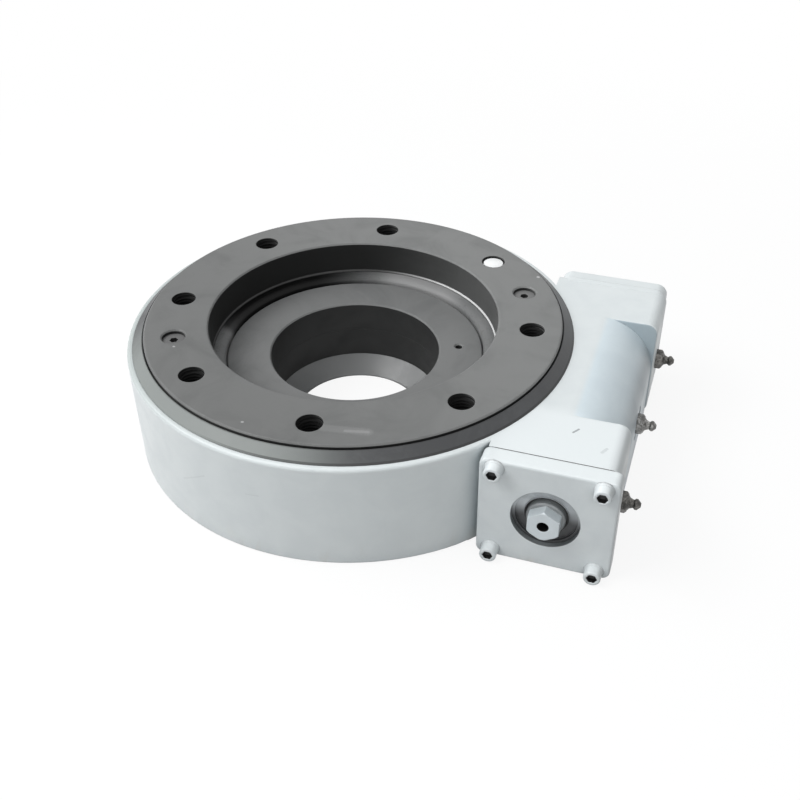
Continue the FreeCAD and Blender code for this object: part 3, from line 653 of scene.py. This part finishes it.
# Rubber of the seals
sealRubber = {
    "edge": {"Radius": 0.5 * mm, "Gain": 2.0},
    "edgeShare": 0.4,
    "wear": {"Scale": 60.0, "Low": 0.42, "High": 0.75},
    "grain": 1600.0,
    "nicks": {"Scale": 330.0, "Low": 0.5, "High": 0.72},
    "nickShare": 0.3,
    "nickDepth": -1.5,
    "flecks": {"Scale": 140.0, "Size": 0.08, "Share": 0.15},
    "fleckColour": grey(0.45),
    "bumpStrength": 0.2,
    "bumpDepth": 0.1 * mm,
    # colour of the painted shadow lines in the seal's groove and gap
    "paintedShade": grey(0.02),
    "creaseShade": None,
    "paintedSheen": None,
}
dustRubber = {
    **sealRubber,
    "colour": grey(0.062, (0.96, 0.99, 1.04)),
    "worn": grey(0.085, (0.97, 1.0, 1.03)),
    "nick": grey(0.062),
    "rough": (0.42, 0.58),
    "specular": 0.4,
    # pale on the left side: overspray, and a painted sheen where the seal faces the light
    "film": {"colour": grey(0.23, (0.96, 1.03, 1.0)), "towards": (-0.42, -0.91, 0.0), "from": (0.66, 0.92)},
    "fleckShare": 0.3,
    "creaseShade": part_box("dust_seal")[1].x - 0.9 * mm,          # painted shadow along the outer edge, on the right
    "creaseShadeRun": (-50 * mm, 5 * mm, 0.0, 0.6),
    "gap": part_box("slew_ring")[1].x + 1.1 * mm,             # painted shadow in the gap to the ring, at the front
    "gapShadeSoft": 0.4 * mm,
    "gapShadeShare": 0.85,
    "gapShadeRun": (-90 * mm, -30 * mm, 1.0, 0.0),
}
innerRubber = {
    **sealRubber,
    "colour": grey(0.175, (0.98, 1.0, 1.0)),
    "worn": grey(0.195),
    "nick": grey(0.05),
    "rough": (0.3, 0.42),
    "specular": 0.15,
    # painted shadow at the left rear, near black, ending a little in front of the middle
    "film": {"colour": grey(0.004), "towards": (-0.866, 0.5, 0.0), "from": (0.5, 0.95),
             "Y": (-13 * mm, -5 * mm)},
    "fleckShare": 0.06,
    # painted highlight at the rear
    "paintedSheen": {"colour": grey(0.255), "towards": (0.24, 0.97, 0.0), "from": (0.9, 0.985)},
}


def rubberMaterial(name, look):
    material, tree, shader, spot = newMaterial(name)
    edge = place(tree, edgeRub, **look["edge"])
    worn = place(tree, smear, Place=spot, **look["wear"])["Mask"]
    grain = noise(tree, spot, look["grain"], detail=2.0, roughness=0.6)
    nicks = place(tree, smear, Place=spot, **look["nicks"])["Mask"]
    where = split(tree, spot)
    flat = flatten(tree, spot)
    reach = length(tree, flat)
    outward = vectorCalc(tree, "NORMALIZE", flat)
    colour = blendColour(tree, worn, look["colour"], look["worn"])
    colour = lay(tree, colour, look["nick"], nicks, look["nickShare"])
    colour = lay(tree, colour, look["worn"], edge["Edge"], look["edgeShare"])
    # painted highlight and painted shadow laid by direction, and on the dust seal also overspray
    for film in (look["paintedSheen"], look["film"]):
        if film:
            covered = spread(tree, dot(tree, outward, film["towards"]), *film["from"])
            if "Y" in film:
                covered = times(tree, covered, spread(tree, where["Y"], *film["Y"]))
            colour = blendColour(tree, covered, colour, film["colour"])
    dust = place(tree, flecks, Place=spot, **look["flecks"])["Mask"]
    colour = lay(tree, colour, look["fleckColour"], dust, look["fleckShare"])
    # painted shadow lines along the outer edge and in the gap to the ring
    if look["creaseShade"]:
        creaseShade = calc(tree, "GREATER_THAN", reach, look["creaseShade"])
        creaseShade = times(tree, creaseShade, spread(tree, where["X"], *look["creaseShadeRun"]))
        colour = blendColour(tree, creaseShade, colour, look["paintedShade"])
        nearGap = (look["gap"] - look["gapShadeSoft"], look["gap"] + look["gapShadeSoft"])
        gap = spread(tree, reach, *nearGap, look["gapShadeShare"], 0.0)
        gap = times(tree, gap, spread(tree, where["Y"], *look["gapShadeRun"]))
        colour = blendColour(tree, gap, colour, look["paintedShade"])
    height = calc(tree, "ADD", grain, times(tree, nicks, look["nickDepth"]))
    wire(tree, shader.inputs, {
        "Base Color": colour,
        "Roughness": spread(tree, worn, 0.0, 1.0, *look["rough"]),
        "Normal": bump(tree, height, look["bumpStrength"], look["bumpDepth"], edge["Normal"]),
        "Specular IOR Level": look["specular"],
    })
    return material


# Fibre gaskets, half hidden under the coat that runs over the seam
driveGasket = {
    "sheet": grey(0.03),
    "coat": (0.685, 0.725, 0.735, 1.0),
    "uncoated": (0.75, 0.52),                    # on the left and on the right
    "halfWidth": 30 * mm,
    "ragged": 0.08,
    "runs": 75.0,
    "fibre": 2200.0,
    "rough": (0.2, 0.8, 0.5, 0.8),
    "bumpStrength": 0.3,
    "bumpDepth": 0.1 * mm,
}
rearGasket = {**driveGasket, "sheet": grey(0.3), "coat": (0.705, 0.745, 0.752, 1.0), "uncoated": (0.1, 0.1)}


def gasketMaterial(name, look):
    material, tree, shader, spot = newMaterial(name)
    ends = (wormPlace.x - look["halfWidth"], wormPlace.x + look["halfWidth"])
    least = spread(tree, split(tree, spot)["X"], *ends, *look["uncoated"])
    most = calc(tree, "ADD", least, look["ragged"])
    bridged = place(tree, smear, Place=spot, Scale=look["runs"], Low=least, High=most)["Mask"]
    fibre = noise(tree, spot, look["fibre"], detail=3.0, roughness=0.7)
    wire(tree, shader.inputs, {
        "Base Color": blendColour(tree, bridged, look["sheet"], look["coat"]),
        "Roughness": spread(tree, fibre, *look["rough"]),
        "Normal": bump(tree, fibre, look["bumpStrength"], look["bumpDepth"], faceNormal(tree)),
    })
    return material


# Oil seal: pressed steel case outside, rubber lip inside
oilSeal = {
    "lip": grey(0.035),
    "lipRadius": 11.3 * mm,
    "lipSoft": 0.3 * mm,
    "case": grey(0.62, (0.94, 1.0, 1.04)),
    # painted shade on the case's lower side, below the shaft
    "oil": grey(0.06, (0.96, 1.0, 1.05)),
    "metal": 0.2,                                # of the case only
    "pitch": 0.35 * mm,
    "clouds": {"Scale": 90.0, "Low": 0.35, "High": 0.7},
    "cloud": grey(0.12),
    "cloudShare": 0.35,
    "edge": {"Radius": 0.4 * mm, "Gain": 1.5},
    "edgeColour": grey(0.4),
    "edgeShare": 0.6,
    "rough": (0.36, 0.55),
    "bumpStrength": 0.2,
    "bumpDepth": 0.06 * mm,
}


def oilSealMaterial(name, look):
    material, tree, shader, spot = newMaterial(name)
    about = aboutWorm(tree, spot)
    flat = flatten(tree, about)
    lipEdge = (look["lipRadius"] - look["lipSoft"], look["lipRadius"] + look["lipSoft"])
    outside = spread(tree, length(tree, flat), *lipEdge)
    edge = place(tree, edgeRub, **look["edge"])
    marks = place(tree, latheMarks, Place=about, Pitch=look["pitch"])
    cloud = place(tree, smear, Place=spot, **look["clouds"])["Mask"]
    # painted shade: the case darkens on its lower side
    case = blendColour(tree, aboveShade(tree, flat), look["oil"], look["case"])
    colour = blendColour(tree, outside, look["lip"], case)
    colour = lay(tree, colour, look["cloud"], cloud, look["cloudShare"])
    colour = lay(tree, colour, look["edgeColour"], edge["Edge"], look["edgeShare"])
    wire(tree, shader.inputs, {
        "Base Color": colour,
        "Roughness": spread(tree, cloud, 0.0, 1.0, *look["rough"]),
        "Normal": bump(tree, marks["Height"], look["bumpStrength"], look["bumpDepth"], edge["Normal"]),
        "Metallic": times(tree, outside, look["metal"]),
    })
    return material


paintOnHousing = paintMaterial("housingPaint", housingPaint)
paintOnCovers = paintMaterial("coverPaint", coverPaint)
steelOfInner = turnedMaterial("innerSteel", innerSteel)
steelOfBearings = turnedMaterial("bearingSteel", bearingSteel, aboutWorm)
steelOfRollers = turnedMaterial("rollerSteel", bearingSteel)
steelOfCages = turnedMaterial("cageSteel", cageSteel, aboutWorm)
steelOfNipples = turnedMaterial("nippleSteel", nippleSteel)
darkOfThreads = turnedMaterial("threadSteel", threadSteel)
nodeFinish = {
    "housing": paintOnHousing,
    "drive_end_cover": paintOnCovers,
    "rear_end_cover": paintOnHousing,
    "drive_cover_screws": paintOnCovers,
    "drive_cover_washers": paintOnCovers,
    "rear_cover_screws": paintOnHousing,
    "slew_ring": turnedMaterial("ringSteel", ringSteel),
    "inner_ring_upper": steelOfInner,
    "inner_ring_lower": steelOfInner,
    "inner_ring_screws": turnedMaterial("blackScrewSteel", blackSteel),
    "grease_port_plugs": turnedMaterial("plugSteel", plugSteel),
    "slew_rollers": steelOfRollers,
    "dust_seal": rubberMaterial("dustSealRubber", dustRubber),
    "inner_seal": rubberMaterial("innerSealRubber", innerRubber),
    "worm_shaft": turnedMaterial("shaftSteel", shaftSteel, aboutWorm),
    "oil_seal": oilSealMaterial("oilSeal", oilSeal),
    "drive_cover_gasket": gasketMaterial("driveGasket", driveGasket),
    "rear_cover_gasket": gasketMaterial("rearGasket", rearGasket),
    "grease_nipple_front": steelOfNipples,
    "grease_nipple_middle": turnedMaterial("nippleZinc", nippleZinc),
    "grease_nipple_rear": steelOfNipples,
}
for end in ("front", "rear"):
    nodeFinish[end + "_bearing_cup"] = steelOfBearings
    nodeFinish[end + "_bearing_cone"] = steelOfBearings
    nodeFinish[end + "_bearing_rollers"] = steelOfRollers
    nodeFinish[end + "_bearing_cage"] = steelOfCages
for name, material in nodeFinish.items():
    nodes[name].data.materials.clear()
    nodes[name].data.materials.append(material)
print("finishes set on", len(nodeFinish), "nodes")


# Mesh helpers
def ringStack(rings, steps):
    # rings of points about Z, bottom to top, closed with a fan at each end
    points = []
    faces = []
    for height, radius in rings:
        for step in range(steps):
            angle = 2 * math.pi * step / steps
            reach = radius(angle) if callable(radius) else radius
            points.append(Vector((reach * math.cos(angle), reach * math.sin(angle), height)))
    for ring in range(len(rings) - 1):
        for step in range(steps):
            a = ring * steps + step
            b = ring * steps + (step + 1) % steps
            faces.append((a, b, b + steps, a + steps))
    low = len(points)
    points.append(Vector((0.0, 0.0, rings[0][0])))
    points.append(Vector((0.0, 0.0, rings[-1][0])))
    top = (len(rings) - 1) * steps
    for step in range(steps):
        after = (step + 1) % steps
        faces.append((low, after, step))
        faces.append((low + 1, top + step, top + after))
    return points, faces


def roundOff(height, radius, soft, turns):
    # rings of a rounded shoulder, one for each turn in degrees
    for turn in turns:
        swing = math.radians(turn)
        yield height - soft + soft * math.sin(swing), radius - soft + soft * math.cos(swing)


def hexReach(acrossFlats, soften):
    # distance to a hexagon's side at an angle, corner towards +Y
    sixth = math.radians(60)

    def reach(angle):
        turn = (angle - sixth) % sixth - sixth / 2
        side = acrossFlats / 2 / math.cos(turn)
        return min(side, acrossFlats / math.sqrt(3) - soften)
    return reach


def addPiece(name, points, faces, material, body, slot=None, smooth=32.0):
    mesh = bpy.data.meshes.new(name)
    mesh.from_pydata(points, [], faces)
    mesh.validate()
    mesh.shade_smooth()
    mesh.set_sharp_from_angle(angle=math.radians(smooth))
    mesh.materials.append(material)
    piece = bpy.data.objects.new(name, mesh)
    bpy.context.scene.collection.objects.link(piece)
    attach(piece, body)
    return piece


def gather(groups):
    points = []
    faces = []
    for morePoints, moreFaces in groups:
        start = len(points)
        points.extend(morePoints)
        faces.extend(tuple(start + corner for corner in face) for face in moreFaces)
    return points, faces


def moved(shape, matrix):
    return [matrix @ point for point in shape[0]], shape[1]


footFilm = 0.04 * mm   # the coat's thickness under the foot of the housing


def onBase(points):
    return [Vector((point.x, point.y, max(point.z, -footFilm))) for point in points]


# Threads in the eight bolt holes of the ring
boltThread = {
    "firstAngle": 8.1,
    "pitch": 2.0 * mm,
    "flank": 0.42,           # half of a ridge's width at its root, as a share of the pitch
    "crest": 0.85 * mm,
    "root": 0.2 * mm,        # sunk into the wall
    "below": 1.2 * mm,
    "depth": 19 * mm,
    "steps": 30,
}


def holePlaces(look):
    ring = boltHoles["pcd_mm"] * mm / 2
    for step in range(boltHoles["count"]):
        angle = math.radians(look["firstAngle"] + 360 * step / boltHoles["count"])
        yield Vector((ring * math.cos(angle), ring * math.sin(angle), ringTop))


def threadRidge(look, wall):
    steps = look["steps"]
    count = int((look["depth"] - look["below"]) / look["pitch"] * steps)
    root = wall + look["root"]
    half = look["pitch"] * look["flank"]
    points = []
    faces = []
    for step in range(count + 1):
        angle = 2 * math.pi * step / steps
        fade = min(1.0, step / steps, (count - step) / steps)
        middle = -look["below"] - look["pitch"] * step / steps
        for reach, rise in ((root, -half), (wall - look["crest"] * fade, 0.0), (root, half)):
            points.append(Vector((reach * math.cos(angle), reach * math.sin(angle), middle + rise)))
    for step in range(count):
        a = 3 * step
        for side in range(3):
            b = (side + 1) % 3
            faces.append((a + side, a + b, a + b + 3, a + side + 3))
    faces.append((2, 1, 0))
    faces.append((3 * count, 3 * count + 1, 3 * count + 2))
    return points, faces


ridge = threadRidge(boltThread, boltHoles["hole_r_mm"] * mm)
threads = gather([moved(ridge, Matrix.Translation(spot)) for spot in holePlaces(boltThread)])
addPiece("boltHoleThreads", *threads, darkOfThreads, ringBody, "ring_steel")
print("bolt hole threads cut")


# A plain finish with soft clouds in it
def cloudedMaterial(name, look):
    material, tree, shader, spot = newMaterial(name)
    cloud = place(tree, smear, Place=spot, **look["clouds"])["Mask"]
    wire(tree, shader.inputs, {
        "Base Color": lay(tree, look["colour"], look["cloud"], cloud, look["cloudShare"]),
        "Roughness": spread(tree, cloud, 0.0, 1.0, *look["rough"]),
        "Normal": bump(tree, cloud, look["bumpStrength"], look["bumpDepth"], faceNormal(tree)),
    })
    return material


# White plastic protector pressed into one bolt hole
protector = {
    "hole": 1,
    "sink": 0.8 * mm,
    "length": 14 * mm,
    "gap": 0.95 * mm,
    "edge": 0.5 * mm,
    "bevel": 0.3,            # share of the edge
    "steps": 48,
}
protectorPlastic = {
    "colour": (0.89, 0.9, 0.9, 1.0),
    "clouds": {"Scale": 160.0, "Low": 0.4, "High": 0.8},
    "cloud": grey(0.7),
    "cloudShare": 0.12,
    "rough": (0.35, 0.5),
    "bumpStrength": 0.1,
    "bumpDepth": 0.1 * mm,
}


def makeProtector(look):
    reach = boltHoles["hole_r_mm"] * mm - look["gap"]
    top = -look["sink"]
    edge = look["edge"]
    bevel = edge * look["bevel"]
    rings = [(top - look["length"], reach - edge), (top - look["length"] + edge, reach), (top - edge, reach),
             (top - bevel, reach - bevel), (top, reach - edge)]
    spot = list(holePlaces(boltThread))[look["hole"]]
    shape = moved(ringStack(rings, look["steps"]), Matrix.Translation(spot))
    addPiece("threadProtector", *shape, cloudedMaterial("protectorPlastic", protectorPlastic), ringBody)


makeProtector(protector)
print("thread protector fitted")

# Drive cover screws: socket heads on washers under one thick coat
coverScrew = {
    "span": 53.6 * mm,
    "shank": 2.4 * mm,
    "shankLength": 10 * mm,
    "film": 0.15 * mm,
    "skin": 0.1 * mm,            # the coat's foot, under and over the face it lies on
    "run": 0.7 * mm,             # how far it runs out round the washer
    "runHeight": 0.35 * mm,
    "washerRound": 0.4 * mm,
    "washerTurns": (0, 45, 90),
    "fillet": 0.25 * mm,
    "filletHeight": 0.5 * mm,
    "headRound": 0.9 * mm,
    "headTurns": (0, 22.5, 45, 67.5, 90),
    "socket": 4.9 * mm,
    "socketSoft": 0.1 * mm,
    "mouth": 0.5 * mm,
    "mouthSoft": 0.15 * mm,
    "mouthDeep": 0.15 * mm,
    "deep": 3.0 * mm,
    "tip": 0.8 * mm,
    "tipRadius": 0.3 * mm,
    "steps": 48,
    "shadeWithin": 0.62,         # share of the socket's width
}
# socket insides painted near black, as shade
socketShade = {
    "colour": grey(0.018),
    "clouds": {"Scale": 400.0, "Low": 0.4, "High": 0.8},
    "cloud": grey(0.05),
    "cloudShare": 1.0,
    "rough": (0.4, 0.6),
    "bumpStrength": 0.2,
    "bumpDepth": 0.1 * mm,
}


def screwShape(look, washer, seat, head, high):
    skin = look["skin"]
    run = look["run"]
    rings = [(-look["shankLength"], look["shank"]), (-skin, look["shank"]), (-skin, washer + run),
             (skin, washer + run / 2), (look["runHeight"], washer + look["film"])]
    rings += roundOff(seat, washer + look["film"], look["washerRound"], look["washerTurns"])
    coated = head + look["film"]
    top = high + look["film"]
    rings += [(seat + skin, coated + look["fillet"]), (seat + look["filletHeight"], coated)]
    rings += roundOff(top, coated, look["headRound"], look["headTurns"])
    mouth = hexReach(look["socket"] + look["mouth"], look["mouthSoft"])
    socket = hexReach(look["socket"], look["socketSoft"])
    rings += [(top, mouth), (high - look["mouthDeep"], socket), (high - look["deep"], socket),
              (high - look["deep"] - look["tip"], look["tipRadius"])]
    return ringStack(rings, look["steps"])


def makeCoverScrews(look):
    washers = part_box("drive_cover_washers")
    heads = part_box("drive_cover_screws")
    span = look["span"]
    head = (heads[1].x - heads[0].x - span) / 2
    washer = (washers[1].x - washers[0].x - span) / 2
    seat = coverFront - washers[0].y
    high = coverFront - heads[0].y
    shape = screwShape(look, washer, seat, head, high)
    spots = [(wormPlace.x + x * span / 2, wormPlace.z + z * span / 2) for x in (-1, 1) for z in (-1, 1)]
    turn = Matrix.Rotation(math.radians(90), 4, "X")
    points, faces = gather([moved(shape, Matrix.Translation((x, coverFront, z)) @ turn) for x, z in spots])
    piece = addPiece("driveCoverScrews", onBase(points), faces, paintOnCovers, "base", "screw_paint")
    piece.data.materials.append(cloudedMaterial("socketShade", socketShade))
    # the deep faces of each socket take the painted shade
    for polygon in piece.data.polygons:
        middle = polygon.center
        away = min(math.hypot(middle.x - x, middle.z - z) for x, z in spots)
        inSocket = away < look["socket"] * look["shadeWithin"]
        if inSocket and 0 < coverFront - middle.y < high - look["mouthDeep"]:
            polygon.material_index = 1
    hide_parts("drive_cover_screws", "drive_cover_washers")


makeCoverScrews(coverScrew)
print("cover screws seated")

# Coat run over the rear cover's seam, so that no joint shows there
seamCoat = {
    "film": 0.12 * mm,
    "capFilm": 0.36 * mm,
    "edgeFilm": 0.01 * mm,
    "spread": 2.2 * mm,
    "corner": 6.5 * mm,
    "inside": 0.6 * mm,
    "turns": 10,
    "smooth": 60.0,
}


def roundedLoop(low, high, corner, y, grow, turns):
    points = []
    centres = [(high[0] - corner, high[1] - corner), (low[0] + corner, high[1] - corner),
               (low[0] + corner, low[1] + corner), (high[0] - corner, low[1] + corner)]
    reach = corner + grow
    for quarter, (x, z) in enumerate(centres):
        for step in range(turns + 1):
            angle = math.radians(90 * quarter + 90 * step / turns)
            points.append(Vector((x + reach * math.cos(angle), y, z + reach * math.sin(angle))))
    return points


def makeSeamCoat(look):
    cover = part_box("rear_end_cover")
    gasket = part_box("rear_cover_gasket")
    block = ((2 * wormPlace.x - boxSide, 0.0), (boxSide, rimTop))
    cap = ((cover[0].x, cover[0].z), (cover[1].x, cover[1].z))
    near = gasket[0].y
    far = gasket[1].y
    start = near - look["spread"]
    stop = far + look["spread"]
    loops = [(block, start, -look["inside"]), (block, start, look["edgeFilm"]), (block, near, look["film"]),
             (cap, far, look["capFilm"]), (cap, stop, look["edgeFilm"]), (cap, stop, -look["inside"])]
    rings = [roundedLoop(*outline, look["corner"], y, grow, look["turns"]) for outline, y, grow in loops]
    count = len(rings[0])
    faces = []
    for ring in range(len(rings)):
        a = ring * count
        b = (ring + 1) % len(rings) * count
        for step in range(count):
            follow = (step + 1) % count
            faces.append((a + step, b + step, b + follow, a + follow))
    points = onBase(point for ring in rings for point in ring)
    addPiece("rearSeamCoat", points, faces, paintOnHousing, "base", smooth=look["smooth"])


makeSeamCoat(seamCoat)
print("rear seam coated")

# Camera at the photograph's place
shot = {"aim": (0.03448, -0.02107, 0.0315), "azimuth": 19.1, "elevation": 37.123, "roll": -0.904,
        "distance": 0.6079, "lens": 48.12, "sensor": 36.0, "nearest": 0.01}


def hang(name, data, look):
    turn = math.radians(look["azimuth"])
    rise = math.radians(look["elevation"])
    back = Vector((math.sin(turn) * math.cos(rise), -math.cos(turn) * math.cos(rise), math.sin(rise)))
    thing = bpy.data.objects.new(name, data)
    thing.location = Vector(look["aim"]) + back * look["distance"]
    thing.rotation_mode = "QUATERNION"
    thing.rotation_quaternion = (-back).to_track_quat("-Z", "Y")
    bpy.context.scene.collection.objects.link(thing)
    return thing


def makeCamera(look):
    data = bpy.data.cameras.new("camera")
    data.lens = look["lens"]
    data.sensor_width = look["sensor"]
    data.clip_start = look["nearest"]
    camera = hang("camera", data, look)
    roll = Quaternion((0, 0, 1), math.radians(look["roll"]))
    camera.rotation_quaternion = camera.rotation_quaternion @ roll
    bpy.context.scene.camera = camera


makeCamera(shot)

# Soft studio light, the main lamp up on the left
lampAim = (0.03, 0.0, 0.04)
lamps = {
    "key": {"aim": lampAim, "azimuth": -56, "elevation": 50, "distance": 1.3, "size": 0.8, "power": 7.5},
    "side": {"aim": lampAim, "azimuth": -90, "elevation": 45, "distance": 1.3, "size": 0.5, "power": 3.0},
    "fill": {"aim": lampAim, "azimuth": 25, "elevation": 30, "distance": 1.6, "size": 1.2, "power": 4.5},
}
sky = {"ambient": (0.97, 0.99, 1.0, 1.0), "left": 0.9, "right": 0.35}   # dimmer from the right
# the floor throws back little light, is seen pale, and turns white further away
floor = {"size": 6.0, "drop": 0.2 * mm, "paper": grey(0.27), "seen": grey(0.95), "glow": (0.88, 1.0),
         "fades": (0.22, 0.7)}


def makeLamp(name, look):
    data = bpy.data.lights.new(name, "AREA")
    data.shape = "DISK"
    data.size = look["size"]
    data.energy = look["power"]
    hang(name, data, look)


def seenDirectly(tree):
    path = put(tree, "LightPath").outputs
    seen = calc(tree, "MAXIMUM", path["Is Camera Ray"], path["Is Glossy Ray"])
    return calc(tree, "MAXIMUM", seen, path["Is Transmission Ray"])


def makeSky(look):
    world = bpy.data.worlds.new("studio")
    world.use_nodes = True
    tree = world.node_tree
    tree.nodes.clear()
    aim = split(tree, put(tree, "TexCoord").outputs["Generated"])["X"]
    level = spread(tree, aim, -1.0, 1.0, look["left"], look["right"])
    soft = put(tree, "Background", {"Color": look["ambient"], "Strength": level}).outputs[0]
    white = put(tree, "Background", {"Color": grey(1.0), "Strength": 1.0}).outputs[0]
    both = put(tree, "MixShader", {0: seenDirectly(tree), 1: soft, 2: white}).outputs[0]
    put(tree, "OutputWorld", {"Surface": both})
    bpy.context.scene.world = world


def makeFloor(look):
    half = look["size"] / 2
    corners = [(x * half, y * half, -look["drop"]) for x, y in ((-1, -1), (1, -1), (1, 1), (-1, 1))]
    mesh = bpy.data.meshes.new("floor")
    mesh.from_pydata(corners, [], [(0, 1, 2, 3)])
    plane = bpy.data.objects.new("floor", mesh)
    bpy.context.scene.collection.objects.link(plane)
    material = bpy.data.materials.new("floorPaper")
    material.use_nodes = True
    tree = material.node_tree
    tree.nodes.clear()
    seen = seenDirectly(tree)
    colour = blendColour(tree, seen, look["paper"], look["seen"])
    paper = put(tree, "BsdfDiffuse", {"Color": colour}).outputs[0]
    white = put(tree, "Emission", {"Color": grey(1.0), "Strength": 1.0}).outputs[0]
    away = length(tree, objectSpot(tree))
    share = times(tree, seen, spread(tree, away, *look["fades"], *look["glow"]))
    both = put(tree, "MixShader", {0: share, 1: paper, 2: white}).outputs[0]
    put(tree, "OutputMaterial", {"Surface": both})
    mesh.materials.append(material)


for name, look in lamps.items():
    makeLamp(name, look)
makeSky(sky)
makeFloor(floor)
bpy.context.scene.view_settings.view_transform = "Standard"
print("camera, lamps and floor placed")

bpy.context.view_layer.update()
